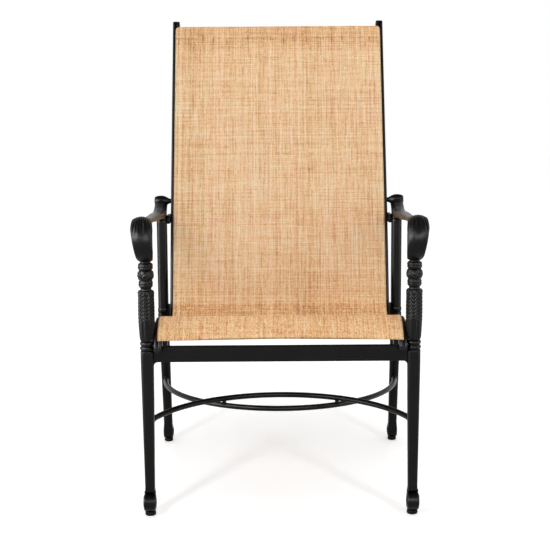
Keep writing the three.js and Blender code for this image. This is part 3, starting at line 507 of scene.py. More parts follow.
def woven(length):
    """Tan and cream yarns that cross, each with its own tone and its own changes along it."""
    s = Shader("woven_raffia")
    uv = s.add("ShaderNodeUVMap", {}, "UV", uv_map="cloth")
    u, v = (s.add("ShaderNodeSeparateXYZ", {0: uv}, axis) for axis in (0, 1))
    top_seam = length - HEM
    # the seat is seen without light from behind: deeper in colour and with more contrast
    seat = s.spread(v, 0.34, 0.56, 1.0, 0.0)
    number_u, tone_u, back_u, hue_u = yarns(s, u, v, seat, 11.0, 0.92)
    number_v, tone_v, back_v, hue_v = yarns(s, v, u, seat, 47.0, 0.68)
    over = s.math("PINGPONG", number_u + number_v, 1.0)  # 1 where the lengthwise yarn is on top
    patch = s.noise(s.xyz(u * 6.0, v * 4.0, 9.0), 1.0, 3.0)
    tone = tone_u * (over * 0.3 + 0.5) + tone_v * (0.7 - over * 0.3) + (patch - 0.5) * 0.18 + 0.525
    # deeper in tone from a little below the top seam upwards, and painted shade where the seat turns up into
    # the back
    below_seam = s.spread(v, length - 0.068, length - 0.045, 0.0, 0.12)
    painted_corner_shade = s.spread(v, 0.482, 0.468, 0.0, 0.17) * s.spread(v, 0.34, 0.42, 0.0, 1.0)
    tone = tone - (below_seam + painted_corner_shade)
    # small tucks across the top seam, each with painted shade in its fold, and the seam's own puckered line
    cell = u / TUCK
    number = s.math("FLOOR", cell)
    beside = abs(cell - (number + (s.white(number, 71.0) * 0.6 + 0.2))) * TUCK
    away = abs(v - (s.white(number, 73.0) * 0.012 + (top_seam - 0.010)))
    tuck_and_shade = s.spread(beside, 0.0006, 0.0019, 1.0, 0.0) * s.spread(away, 0.004, 0.011, 1.0, 0.0)
    tuck_and_shade = tuck_and_shade * s.spread(s.white(number, 79.0), 0.1, 0.9, 0.25, 1.0)
    uneven = s.noise(s.xyz(u * 34.0, 3.0, 5.0), 1.0, 2.0)
    seam = s.spread(abs(v - top_seam), 0.0008, 0.0024, 1.0, 0.0) * s.spread(uneven, 0.45, 0.60, 0.0, 1.0)
    # painted shade in the tucks, and the seam's darker line
    tone = tone - (tuck_and_shade * 0.46 + seam * 0.17)
    colour = s.ramp(tone, [(0.0, linear("A0744D")), (1.0, linear("FCEFDA")), (0.2, linear("C79A6C")),
                           (0.4, linear("E3B88A")), (0.56, linear("EDCBA2")), (0.76, linear("F3DAB8"))])
    # some yarns are rosier, others more yellow
    tints = [(0.26, (0.985, 0.90, 0.985)), (0.74, (0.93, 1.0, 1.0)), (0.5, (0.985, 0.97, 0.885))]
    colour = s.mix(1.0, colour, s.ramp(hue_u * 0.6 + hue_v * 0.4, tints), "MULTIPLY")
    colour = s.mix(seat, colour, (0.985, 0.885, 0.775), "MULTIPLY")
    # painted shade: each yarn darkens towards its sides, most of all in the gaps where four yarns meet
    top = s.math("MAXIMUM", back_u * (over * 0.55 + 0.45), back_v * (1.0 - over * 0.55))
    gap_shade_depths = enumerate((0.37, 0.44, 0.47))
    shade = s.add("ShaderNodeCombineColor", {i: 1.0 - (1.0 - top) * depth for i, depth in gap_shade_depths})
    colour = s.mix(1.0, colour, shade, "MULTIPLY")
    # stitches along each hem
    dash = s.math("LESS_THAN", s.math("FRACT", u / STITCH), 0.72)
    first, second, last = (s.math("LESS_THAN", abs(v - row), 0.00045)
                           for row in (HEM - 0.0015, HEM - 0.006, top_seam + 0.0015))
    stitch = (first + second + last) * dash
    colour = s.mix(stitch * 0.35, colour, linear("A8784C"))
    height = top - (stitch * 0.6 + tuck_and_shade * 1.5)
    return s.fill(Base_Color=colour, Roughness=s.spread(tone, 0.2, 0.9, 0.82, 0.66),
                  Normal=s.bump(height, 0.55, 0.0004), Specular_IOR_Level=0.04, Sheen_Weight=0.05)


MATERIAL = {"frame": powder_coat(), "plastic": dull_plastic(), "fixings": dark_steel(),
            "sling": woven((SHEET_TO - SHEET_FROM) * MM)}


# Sling rails
def rail_section():
    """Section of a rail: round corners, and a slot whose inner lip is rounded for the cloth."""
    front, back, lip = 4.2, 3.0, 2.6
    corners = [(RAIL_OUTER - front, front, front, -90), (RAIL_OUTER - back, RAIL_DEPTH - back, back, 0),
               (RAIL_INNER + back, RAIL_DEPTH - back, back, 90), (RAIL_INNER + back, back, back, 180),
               (SLOT_X - SLOT_HALF - lip, lip, lip, 270)]
    out = []
    for x, depth, r, start in corners:
        turn = [rad(start + a) for a in range(0, 91, 15)]
        out += [(x + r * cos(a), depth + r * sin(a)) for a in turn]
    mouth = asin(SLOT_HALF / CHANNEL_R)
    out += [(SLOT_X - CHANNEL_R * sin(a), CHANNEL_DEPTH - CHANNEL_R * cos(a))
            for a in np.linspace(mouth, 2 * pi - mouth, 15)]
    return out + [(SLOT_X + SLOT_HALF, 1.2), (SLOT_X + SLOT_HALF + 0.3, 0.3)]


def along_rail(section, start, end, sign):
    """Rings of a section along a rail, closer together where it bends."""
    straight, curved = 14.0, 4.0
    stops, s = [start], start
    while s < end - 1e-6:
        bends = s < SEAT_START + 2 or CORNER_START - 4 < s < BACK_START + 2
        s = min(end, s + (curved if bends else straight))
        stops.append(s)
    return Body().rings([[(sign * x, *rail.point(s, depth)) for x, depth in section] for s in stops])


def front_cap(sign):
    """The rounded plug in a rail's front end."""
    round_over = RAIL_WIDTH / 2
    rows = []
    for s in (11.7, 10.2, 8.7, 7.0, 5.4, 4.0, 2.8, 1.8, 1.0, 0.4, 0.0):
        share = sqrt(max(0.0, 1 - (max(0.0, round_over - s) / round_over) ** 2))
        ring = round_rect(RAIL_WIDTH * max(0.16, share), RAIL_DEPTH - 3.0 * (1 - share), 1.3 + 2.2 * share)
        rows.append([(sign * (RAIL_MIDDLE + u), *rail.point(s, RAIL_DEPTH / 2 + v)) for u, v in ring])
    return Body().rings(rows)


APRON_HALF, APRON_ROOM_Z = 6.3, APRON_TOP_Z + 0.3
NOTCH = ((-APRON_HALF, 300), (APRON_HALF, 300), (APRON_HALF, APRON_ROOM_Z), (-APRON_HALF, APRON_ROOM_Z))
SUNK_HOLE = [(3.3, -RAIL_WIDTH - 2), (3.3, -3.1), (4.7, -0.9), (4.7, 2.0)]
CORD = [(SLOT_X + CORD_R * cos(a), CHANNEL_DEPTH + CORD_R * sin(a)) for a in circle(14)]
for side, sign in SIDES:
    body = along_rail(rail_section(), RAIL_FROM, RAIL_TO, sign)
    piece = put(f"sling_rail_{side}", "extrusion", body, "frame")
    notch = Body().rings([[(sign * x, y, z) for y, z in NOTCH] for x in (240, 280)])
    carve(piece, notch)
    for s in (FRONT_SPREADER_S, TOP_SPREADER_S):
        centre = (sign * RAIL_OUTER, *rail.point(s, BOLT_DEPTH))
        carve(piece, Body().turned([(r, sign * h) for r, h in SUNK_HOLE], centre, "x", 36))
    put(f"sling_spline_{side}", "cord", along_rail(CORD, SHEET_FROM, SHEET_TO, sign), "plastic")
    carve(put(f"rail_front_cap_{side}", "end", front_cap(sign), "plastic"), notch)
    eased(f"rail_top_cap_{side}", 1.4, "plastic")


# The sling
def sling():
    """A woven sheet, held in the slots at its sides, with a hem at its front and at its top."""
    half, bend, above = 0.8, 4.0, 1.1  # half its thickness, its turn over the lip, its height on the rail
    rounding, corner_r = 1.3, 7.0
    hem, length = HEM / MM, SHEET_TO - SHEET_FROM
    # from inside the slot up over the rail's face: across, depth, and the cloth's outward way in both
    edge = [(SLOT_X, bend - d, 1.0, 0.0) for d in (0.9, 1.0, above)]
    for a in np.linspace(0, pi / 2, 9)[1:]:
        out, rise = cos(a), sin(a)
        edge.append((SLOT_X - bend * (1 - out), bend - above - bend * rise, out, -rise))
    inner = edge[-1][0]
    across = [(x, -above, 0.0, -1.0) for x in np.linspace(inner, -inner, 111)[1:-1]]
    left = [(-x, d, -nx, nd) for x, d, nx, nd in reversed(edge)]
    x, depth, nx, nd = np.array(edge + across + left).T
    widths = np.concatenate([[0], np.cumsum(np.hypot(np.diff(x), np.diff(depth)))])
    widths -= widths[-1] / 2
    near_end = (0.0, 0.25, 0.7, rounding)
    ts = {*near_end, *(length - t for t in near_end), *(length - t for t in (6.8, 5.4, 4.0, 2.8, 1.9))}
    ts |= set(np.linspace(2, hem + 4, 9)) | set(np.linspace(length - hem - 4, length - 8, 9))
    ts |= set(np.linspace(hem + 8, length - hem - 8, 190))
    flat = 1 - smooth(240, 252, np.abs(x))
    rows, uvs = [], []
    for t in sorted(ts):
        s = SHEET_FROM + t + 6.0 * (1 - (x / SLOT_X) ** 2) * (1 - smooth(0, 60, t))
        end = min(t, length - t)
        folded = float(smooth(hem + 0.8, hem - 0.8, end))
        corner = max(0.0, corner_r - (length - t))
        taper = 1 - (corner_r - sqrt(corner_r ** 2 - corner * corner)) / SLOT_X
        h = half * (0.35 + 0.65 * sqrt(min(1.0, end / rounding))) + 0.42 * folded * flat
        # slow waves in the taut cloth, and puckers that fade away from the top seam
        wave = 0.30 * np.sin(x / 31.0 + 1.3 * sin(s.mean() / 90.0)) + 0.25 * np.sin(s / 47.0 + x / 83.0)
        fade = exp(-(abs(length - hem - t) / 9.0) ** 2) * smooth(0, 3, end)
        pucker = 0.55 * np.cos(x / 4.9 + 1.7 * np.sin(x / 23.0)) * fade
        lift = (wave * smooth(0, 30, end) + pucker) * flat
        for face in (1, -1):
            for k in range(len(x))[::face]:
                px = (x[k] + face * h[k] * nx[k]) * taper
                rows.append((px, *rail.point(s[k], depth[k] + face * h[k] * nd[k] - lift[k])))
                uvs.append((widths[k] * MM, t * MM))
    mesh = Body().rings(np.array(rows).reshape(len(ts), 2 * len(x), 3)).mesh("sling_sheet")
    corners = np.zeros(len(mesh.loops), int)
    mesh.loops.foreach_get("vertex_index", corners)
    mesh.uv_layers.new(name="cloth").data.foreach_set("uv", np.array(uvs)[corners].ravel())
    piece = finish_piece("sling_sheet", mesh, "sling", "sling_fabric", 70)


sling()


# Turned and carved front posts
def post_shape():
    """Radius of the post over height and angle, with its rings, leaves and beads."""
    z = np.concatenate([np.arange(LEG_TOP_Z + SEAM, POST_TOP_Z, 0.6), [POST_TOP_Z]])
    zz, aa = np.meshgrid(z, circle(156), indexing="ij")
    bottom = LEG_TOP_Z + SEAM
    ring_valley, bead_valley = 12.1, 12.9
    radius = np.full_like(zz, ring_valley)

    def bulge(start, height, reach, valley):
        q = np.clip(2 * (zz - start) / height - 1, -1, 1)
        return (zz >= start) & (zz <= start + height), q, (reach - valley) * (1 - q * q) ** 0.5

    for start in (bottom + 0.8, bottom + 11.2):
        inside, q, out = bulge(start, 9.0, 15.3, ring_valley)
        radius = np.where(inside, ring_valley + out, radius)
    # the vase: six leaves, each with a midrib, two full halves, scalloped edges and a curled tip
    vase, tall = bottom + RINGS_TALL, VASE_TALL
    t = (zz - vase) / tall
    base = curve(t, [0, 0.02, 0.12, 0.3, 0.45, 0.62, 0.8, 0.93, 0.985, 1.0],
                 [13.0, 14.2, 15.0, 16.0, 16.7, 16.8, 16.5, 16.2, 15.9, 13.2])
    leaf_turn = pi / 3
    phi = (aa + pi / 2 + rad(10) + leaf_turn / 2) % leaf_turn - leaf_turn / 2
    m = np.abs(phi) / (leaf_turn / 2)
    width = curve(t, [0, 0.12, 0.4, 0.75, 0.92, 1.0], [0.55, 0.72, 0.93, 0.99, 0.97, 0.85])
    width = width * (1 - 0.07 * (0.5 - 0.5 * np.cos(2 * pi * (t * 6.5 + 0.15))) ** 0.8)
    share = np.clip(m / width, 0, 1)
    fade = smooth(0.0, 0.06, t) * smooth(1.0, 0.985, t)
    relief = 1.5 * np.sin(pi * share) ** 0.6 * fade
    veins = (0.5 + 0.5 * np.cos(2 * pi * (t * 14 - 1.5 * m))) ** 1.6
    relief -= 1.7 * veins * smooth(0.06, 0.3, m) * fade * smooth(0.30, 0.6, t)
    relief += 0.9 * np.exp(-(phi / rad(3.4)) ** 2) * smooth(0.03, 0.1, t) * smooth(0.97, 0.9, t)
    relief += (0.9 - 0.7 * m ** 2) * np.exp(-((t - 0.945) / 0.028) ** 2)
    radius = np.where((t >= 0) & (t <= 1), base + relief, radius)
    # the beads: two with a groove that waves round them and, between them, a larger one with ovals
    neck = vase + tall
    q = np.clip((zz - neck) / NECK_TALL, 0, 1)
    radius = np.where((zz > neck) & (q < 1), 12.3 - 0.7 * np.sin(pi * q), radius)
    first = neck + NECK_TALL
    for start, reach in ((first, 15.8), (first + BEAD_TALL + OVALS_TALL, 16.5)):
        inside, q, out = bulge(start, BEAD_TALL, reach, bead_valley)
        wave = q + 0.16 * np.sin(3 * (aa + pi / 2))
        groove = 1.5 * np.exp(-(wave / 0.17) ** 2) + 0.5 * np.exp(-((np.abs(wave) - 0.66) / 0.12) ** 2)
        radius = np.where(inside, bead_valley + out - groove * (1 - q * q) ** 0.3, radius)
    inside, q, out = bulge(first + BEAD_TALL, OVALS_TALL, 17.2, bead_valley)
    twist = aa + pi / 2 + 0.42 * q
    near = ((twist + pi / 5) % (2 * pi / 5)) - pi / 5
    oval = np.exp(-(((near / rad(16)) ** 2 + (q / 0.44) ** 2) ** 1.6))
    rim = np.exp(-((np.hypot(near / rad(29), q / 0.76) - 1) / 0.17) ** 2)
    carving = (1.5 * oval + 1.3 * rim) * (1 - q * q) ** 0.5 - 0.6
    radius = np.where(inside, bead_valley + out + carving, radius)
    x = radius * np.cos(aa) + FRONT_FOOT_X - LEAN * zz
    y = radius * np.sin(aa)
    return Body().rings(np.stack([x, y, zz], axis=2))


post = post_shape()
for side, sign in SIDES:
    put(f"front_post_{side}", "carved", post.mirrored(sign), "frame", 60)


# Legs and feet
def foot(body, x, size, width, depth, ankle_z, centre, outward):
    """A scroll foot: a roll at the front, a hollow above it between two cheeks, and a heel behind."""
    low, edge = 11.0, 3.2
    tall = ankle_z - low
    r = 0.39 * tall
    cy, cz = 0.19 * depth, low + r + 0.8
    hollow = 0.30 * size

    def outline(depth_share):
        back = [(-size / 2, ankle_z + 6), (-size / 2, ankle_z - 2), (-0.36 * depth, low + 0.45 * tall),
                (-0.345 * depth, low + 0.18 * tall), (-0.28 * depth, low + 0.02 * tall),
                (-0.2 * depth, low)]
        roll = [(cy + r * 1.05 * cos(a), cz + r * sin(a)) for a in np.linspace(rad(-85), rad(112), 28)]
        top = [(size / 2 - hollow * depth_share, low + 0.84 * tall),
               (size / 2 - hollow * 1.05 * depth_share, low + 0.91 * tall),
               (size / 2 - hollow * 0.7 * depth_share, low + 0.97 * tall),
               (size / 2, ankle_z + 0.5), (size / 2, ankle_z + 6)]
        return np.array(back + roll + top)

    full, deep = outline(0.0), outline(1.0)
    half = width / 2
    stations = [(-half + edge * (1 - cos(a)), edge * (1 - sin(a))) for a in np.linspace(0, pi / 2, 6)]
    stations += [(u, 0.0) for u in np.linspace(-half + edge, half - edge, 17)[1:-1]]
    stations += [(-u, i) for u, i in reversed(stations[:6])]
    rows = []
    for u, inset in stations:
        share = float(smooth(0.70, 0.36, abs(u) / half))
        p = full + (deep - full) * share
        t = np.roll(p, -1, 0) - np.roll(p, 1, 0)
        t /= np.linalg.norm(t, axis=1)[:, None]
        p = p + np.stack([-t[:, 1], t[:, 0]], axis=1) * inset
        # narrows into the leg at its top
        narrow = 1 - (1 - (size - 1.0) / width) * smooth(low + 0.84 * tall, ankle_z, p[:, 1])
        rows.append([(x + u * k, centre(z) + outward * y, z) for (y, z), k in zip(p, narrow)])
    body.rings(rows)
    return centre(cz) + outward * cy, cz, r


def volute(body, centre, x, radius, bead=1.1):
    """A raised spiral line on a side face."""
    cy, cz = centre
    turns, end = 1.6, 0.16
    a = np.linspace(0, 2 * pi * turns, int(40 * turns))
    r = radius * (1 - (1 - end) * a / a[-1])
    path = np.stack([np.full_like(a, x), cy - r * np.sin(a), cz + r * np.cos(a)], axis=1)
    fade = bead * np.clip(a / 0.4, 0.25, 1)
    rows = []
    for p, t, w in zip(path, np.gradient(path, axis=0), fade):
        t = t / np.linalg.norm(t)
        side = np.array([0, -t[2], t[1]])
        rise = np.array([0.8, 0, 0])
        rows.append([p + w * (cos(q) * side + sin(q) * rise) for q in circle(10)])
    return body.rings(rows)


def front_leg():
    body = Body()
    rows = []
    for z in [*np.linspace(FRONT_ANKLE_Z - 6, LEG_TOP_Z - 1.2, 60), LEG_TOP_Z - 0.4, LEG_TOP_Z]:
        size = np.interp(z, [FRONT_ANKLE_Z, 345, LEG_TOP_Z], [FRONT_ANKLE, FRONT_SIZE, FRONT_SIZE])
        inset = 0 if z < LEG_TOP_Z - 1 else (0.35 if z < LEG_TOP_Z - 0.1 else 1.2)
        ring = round_rect(size - 2 * inset, size - 2 * inset, 0.24 * size - inset, across=8, upright=8)
        rows.append([(FRONT_FOOT_X + u - LEAN * z, v, z) for u, v in bulged(ring, 0.07)])
    body.rings(rows)
    cy, cz, r = foot(body, FRONT_FOOT_X, FRONT_ANKLE, 25.2, 37.0, FRONT_ANKLE_Z, lambda z: 0.0, -1)
    for x in (FRONT_FOOT_X - 12.8, FRONT_FOOT_X + 12.8):
        volute(body, (cy, cz), x, r * 0.80)
    return body


def rear_leg():
    body = Body()
    rows = []
    above_foot, knee_from, knee_to, knee_ring = REAR_ANKLE_Z - 6, 336, 376, 6.6
    zs = {*np.linspace(above_foot, knee_from, 46), *np.linspace(knee_from, knee_to, 81)}
    for z in sorted(zs | set(np.linspace(knee_to, REAR_TOP_Z - 1, 40))) + [REAR_TOP_Z]:
        size = np.interp(z, [REAR_ANKLE_Z, 330, 344], [REAR_ANKLE, 25.4, REAR_SIZE])
        for middle in (REAR_KNEE_Z - knee_ring, REAR_KNEE_Z + knee_ring):
            q = (z - middle) / knee_ring
            if abs(q) < 1:
                size += 4.0 * (1 - q * q) ** 0.5 - 1.6
        size -= 2.0 if z == REAR_TOP_Z else 0
        ring = round_rect(size, size, 0.38 * size, arc=8, across=4)
        rows.append([(REAR_LEG_X + u, rear_leg_y(z) + v, z) for u, v in ring])
    body.rings(rows)
    cy, cz, r = foot(body, REAR_LEG_X, REAR_ANKLE, 24.8, 32.0, REAR_ANKLE_Z, rear_leg_y, 1)
    for x in (REAR_LEG_X - 12.2, REAR_LEG_X + 12.2):
        volute(body, (cy, cz), x, r * 0.78, bead=1.0)
    return body


def glide(x, y, radius):
    inset = [(3, 0), (1.2, 0.5), (0.3, 1.7), (0, 3.2), (0, 7.2), (0.5, 8.0), (1.5, 8.4), (1.6, 9.0),
             (0.9, 9.5), (0.8, 10.3), (1.4, GLIDE_TALL)]
    stem = [(STEM_R, GLIDE_TALL), (STEM_R, STEM_TOP_Z), (0, STEM_TOP_Z)]
    profile = [(0, 0)] + [(radius - inner, z) for inner, z in inset] + stem
    return Body().turned(profile, (x, y, 0), sides=36)


front, rear = front_leg(), rear_leg()
rear_low, rear_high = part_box("rear_glide_left")
rear_glide_y = (rear_low.y + rear_high.y) / 2 / MM - SHIFT
discs = {"front": glide(FRONT_FOOT_X, -GLIDE_AHEAD, 12.0), "rear": glide(REAR_LEG_X, rear_glide_y, 11.0)}
for side, sign in SIDES:
    for end, leg in (("front", front), ("rear", rear)):
        put(f"{end}_leg_{side}", "scroll", leg.mirrored(sign), "frame", 50)
    for end, disc in discs.items():
        put(f"{end}_glide_{side}", "disc", disc.mirrored(sign), "plastic")


# Arms
ARM_X, ARM_W = 296.5, 28.0
INNER_X, RING_R = 267.6, SCROLL_R + 0.6
RING_Z = SCROLL_Z - 4.0
ROLL_HEIGHT = 631.0
roll_s = crossing(BACK_START, rail.length, lambda s: rail.point(s, BOLT_DEPTH)[1] >= ROLL_HEIGHT)
roll_y, roll_z = rail.point(roll_s, BOLT_DEPTH)
CURL = rad(245)


def scroll_width(turn):
    return curve(turn / CURL, [0, 0.2, 0.25, 0.32, 0.385, 0.47, 0.52, 0.58, 0.65, 0.76, 1.0, 1.7],
                 [46.2, 46.6, 45.6, 43.8, 42.1, 39.4, 38.0, 36.6, 34.4, 31.8, 29.4, 28.0])


def arm():
    body = Body()
    top_y, top_z = REAR_KNEE_Y + REAR_LEAN, REAR_TOP_Z
    start_y, start_z = top_y - REAR_SIZE, top_z + 18.0
    peak = RING_Z + RING_R - 8.0
    # the line of the arm from its rolled rear end to the scroll: back, height, thickness, width
    knots = [(roll_y, roll_z - 3.0, 10.0, 30.0), (roll_y - 9, roll_z - 3.5, 15.0, 30.5),
             ((roll_y + top_y) / 2, top_z + 26.0, 19.0, 31.0), (top_y, top_z + 15.5, 25.0, 31.5),
             (start_y, top_z + 16.2, 18.5, 32.0)]
    # from there on: the share of the way forwards, the share of the way up, thickness
    for ahead, up, thick in [(0.2, 0.15, 16.0), (0.41, 0.32, 14.0), (0.555, 0.46, 11.0), (0.67, 0.59, 10.0),
                             (0.78, 0.72, 10.0), (0.89, 0.86, 10.0)]:
        knots.append((start_y * (1 - ahead), start_z + up * (peak - start_z), thick, ARM_W))
    first = float(scroll_width(0))
    rows = []
    for y, z, t, w in knots:
        share = min(1.0, max(0.0, 1 - y / start_y))  # of the way forwards
        x = ARM_X + (INNER_X + first / 2 - ARM_X) * share
        w = w + (first - w) * float(smooth(0.72, 1.02, share))
        rows.append((x, y, z, t + 3.0 * float(smooth(0.8, 1.02, share)), w))
    rows.append((INNER_X + first / 2, 0.0, RING_Z + RING_R - 7.5, 15.0, first))
    bar = spline(rows, 170)
    steps = np.diff(bar[:, 1:3], axis=0)
    headings = [atan2(-dz, -dy) for dy, dz in steps] + [0.0]
    run = np.concatenate([[0], np.cumsum(np.hypot(*steps.T))])
    # x, y, z, heading, thickness, width, length from the scroll's top
    stations = [(x, y, z, h, t, w, d) for (x, y, z, t, w), h, d in zip(bar, headings, run - run[-1])]
    for turn in np.linspace(rad(3), rad(400), 170):
        w = float(scroll_width(min(turn, 1.7 * CURL)))
        t = float(curve(turn, [0, 1.0, pi, CURL, rad(400)], [15.0, 16.0, 15.0, 12.5, 6.5]))
        tight = max(0.0, (turn - pi) / CURL)
        full = 3.4 * float(smooth(rad(70), rad(150), turn) * smooth(rad(300), rad(200), turn))
        r = (RING_R + full) * (1 - 0.9 * tight) - t / 2
        y, z = -r * sin(turn), RING_Z + r * cos(turn)
        stations.append((INNER_X + w / 2, y, z, turn, t, w, RING_R * turn))
    rings = []
    for x, y, z, h, t, w, d in stations:
        # the inner face slants outwards towards the back
        inner = max(x - w / 2, INNER_X - 1.6 + 0.1 * (min(y, 60) + 46))
        x, w = (x + w / 2 + inner) / 2, x + w / 2 - inner
        ring = round_rect(w, t, min(2.6, 0.33 * t), arc=4, across=52, upright=4)
        u, v = ring[:, 0], ring[:, 1].copy()
        face = smooth(t / 2 - 1.5, t / 2, v)  # the outer face alone
        q = u / (w / 2)
        # crowned across, most of all over the top of the scroll
        crown = min(t - 2.5, float(curve(d, [-520, -430, -360, -160, -90, -30, 0, 30, 60, 110, 170, 400],
                                         [11.0, 9.5, 4.0, 4.0, 7.0, 12.0, 12.5, 11.5, 8.0, 4.5, 2.5, 1.0])))
        drop = crown * np.where(q < 0, np.abs(q) ** 2.4, 0.60 * np.abs(q) ** 2.0)
        v = -t / 2 + (v + t / 2) * (t - drop) / t
        # leaf strokes that start at the top and fan out towards both edges, longest at the sides
        fan = np.abs(u) / (1 + max(d + 20, 0) / 42)
        tip = 42 + np.where(q > 0, 46.0, 14.0) * q * q + 3 * np.cos(2 * pi * fan / 2.6)
        leaf = smooth(0, -26, d - tip) * smooth(-120, -50, d)
        groove = np.abs(np.cos(pi * fan / 2.6)) ** 0.7
        middle = 1.2 * smooth(0.34, 0.12, np.abs(q)) * smooth(8, 30, d) * smooth(66, 48, d)
        v = v + face * (leaf * (1.7 * groove - 0.2) - middle)
        rings.append(np.stack([x + u, y - v * sin(h), z + v * cos(h)], axis=1))
    body.rings(rings)
    # the eye that fills the scroll, with a raised button on each side
    eye_x = INNER_X + 9.0
    profile = [(0, 0), (25, 0), (28.5, 0.6), (30, 2.2), (30, 14.8), (28.5, 16.4), (25, 17), (0, 17)]
    body.turned(profile, (eye_x, 0, RING_Z), "x", 48)
    button = [(0.0, -4.2), (3.0, -4.0), (5.2, -3.0), (6.4, -1.2), (6.6, 0), (6.6, 17), (6.4, 18.2), (5.2, 20),
              (3.0, 21), (0.0, 21.2)]
    body.turned(button, (eye_x, 0, RING_Z), "x", 32)
    # the collar on the turned post
    low = POST_TOP_Z + SEAM
    collar = [(0, 0), (10.6, 0), (11.3, 0.5), (11.4, 1.2), (10.9, 2.2), (11.3, 3.6), (11.8, 6), (12.2, 10),
              (12.5, 18), (0, 20)]
    body.turned(collar, (FRONT_FOOT_X - LEAN * low, 0, low), "z", 40)
    # the neck from the rear leg's top back and up to the roll: outwards, back, up, width, depth
    full = REAR_SIZE
    neck = [(0, 0, SEAM, 24.0, 24.0), (0, 0, SEAM + 0.5, 25.2, 25.2), (0, 0, 2, full, full),
            (0.3, 3, 8, full, 24.0), (1.5, 14, 17, full, 20.0), (2.6, 29, 25, 27.4, 17.0),
            (3.4, 44, 31, 29.0, 15.0), (3.8, roll_y - top_y, roll_z - 1 - top_z, 30.0, 14.0)]
    rows = []
    for x, y, z, w, deep in spline(neck, 26):
        ring = round_rect(w, deep, 0.37 * deep, arc=8, across=4)
        rows.append([(REAR_LEG_X + x + u, top_y + y + v, top_z + z) for u, v in ring])
    body.rings(rows)
    # the rolled rear end
    roll = [(0, 0), (5.6, 0), (5.9, 2), (6.9, 5), (8.9, 8.5), (11.0, 12), (12.6, 16), (13.6, 20), (14.0, 25),
            (13.8, 30), (13.0, 34.5), (11.9, 37.8), (10.6, 40.0), (9.0, 41.2), (7.4, 41.3), (6.6, 40.3),
            (5.4, 39.7), (3.6, 40.1), (2.0, 40.9), (0, 41.2)]
    body.turned(roll, (RAIL_OUTER + SEAM, roll_y, roll_z), "x", 40)
    return body


arm_body = arm()
for side, sign in SIDES:
    put(f"armrest_{side}", "cast", arm_body.mirrored(sign), "frame", 48)


# Aprons, lugs and other plain castings, each with the width of its rounded edges
APRON_EDGE = 1.6
for node in ("front_apron", "rear_apron"):
    eased(node, APRON_EDGE, "frame")
EDGES = {"side_apron": APRON_EDGE, "front_seat_lug": 0.7, "apron_lug": 1.4, "rear_seat_lug": 1.2,
         "back_lug": 1.5, "stretcher_weld": 0.5}
for side, _ in SIDES:
    for node, width in EDGES.items():
        eased(f"{node}_{side}", width, "frame")
    eased(f"apron_spacer_{side}", 0.3, "fixings", segments=2)


# Bent bars under the seat: the front one is an arc and the rear one half an ellipse
BAR_R, FRONT_BAR_Z, REAR_BAR_Z = 6.35, 213.0, 177.0
FRONT_HALF, FRONT_SAG, REAR_HALF, REAR_REACH = 282.0, 200.25, 291.0, 363.0
WELD_R, WELD_GAP = BAR_R + 0.4, 2.8
arc_r = (FRONT_HALF ** 2 + FRONT_SAG ** 2) / (2 * FRONT_SAG)
apex_y = FRONT_ANKLE / 2 + FRONT_SAG
rear_end_y = rear_leg_y(REAR_BAR_Z)


def front_bar_y(x):
    return apex_y - arc_r + sqrt(arc_r ** 2 - x * x)


def rear_bar_y(x):
    return rear_end_y - REAR_REACH * sqrt(1 - (x / REAR_HALF) ** 2)


cross_x = crossing(0.0, FRONT_HALF, lambda x: rear_bar_y(x) >= front_bar_y(x))
cross_z = FRONT_BAR_Z - 2 * BAR_R - 2 * SEAM - WELD_GAP
climb = (cross_z - REAR_BAR_Z) / (rear_end_y - front_bar_y(cross_x))


def weld_bead(body, centre, inner):
    """A bead of weld round a bar's end, which runs on towards inner."""
    c, t = np.array(centre), np.subtract(inner, centre)
    t /= np.linalg.norm(t)
    side, rise = square_to(t)
    rows = []
    for a in circle(36):
        out = cos(a) * side + sin(a) * rise
        w = 1.6 * (1 + 0.12 * sin(9 * a))
        rows.append([c + out * (WELD_R + w * cos(b)) + t * w * sin(b) for b in circle(10)])
    body.rings(rows, closed=True)


def welded_bar(node, points, kept, weld_y, inner_y):
    """A round bar along the kept points, with a bead of weld near each end."""
    body = Body().tube(kept, BAR_R, 20)
    for sign in (-1, 1):
        side = [p for p in points if p[0] * sign > 0]
        weld_bead(body, *(min(side, key=lambda p: abs(p[1] - y)) for y in (weld_y, inner_y)))
    put(node, "bar", body, "frame")


def bent_bars():
    half = acos(1 - FRONT_SAG / arc_r)
    front = [(arc_r * sin(a), apex_y - arc_r * (1 - cos(a)), FRONT_BAR_Z)
             for a in np.linspace(-half, half, 110)]
    welded_bar("front_stretcher", front, [p for p in front if abs(p[0]) < FRONT_HALF - 1.5], 10.8, 22)
    rear = []
    for a in np.linspace(rad(2.2), pi - rad(2.2), 130):
        y = rear_end_y - REAR_REACH * sin(a)
        rear.append((-REAR_HALF * cos(a), y, REAR_BAR_Z + climb * (rear_end_y - y)))
    welded_bar("rear_stretcher", rear, rear, rear_end_y - 10.6, rear_end_y - 24)


bent_bars()


# Spreader bars and fixings
def spreader(node, s):
    """A tube between the rails that bows away from the cloth."""
    y0, z0 = rail.point(s, BOLT_DEPTH)
    y1, z1 = rail.point(s, BOLT_DEPTH + SPREADER_BOW)
    path = []
    for q in np.linspace(-1, 1, 61):
        bow = 1 - q * q
        path.append((q * (RAIL_INNER - SEAM), y0 + bow * (y1 - y0), z0 + bow * (z1 - z0)))
    put(node, "tube", Body().tube(path, SPREADER_R, 24), "frame")


spreader("front_spreader", FRONT_SPREADER_S)
spreader("seat_corner_spreader", CORNER_MIDDLE)
spreader("top_spreader", TOP_SPREADER_S)


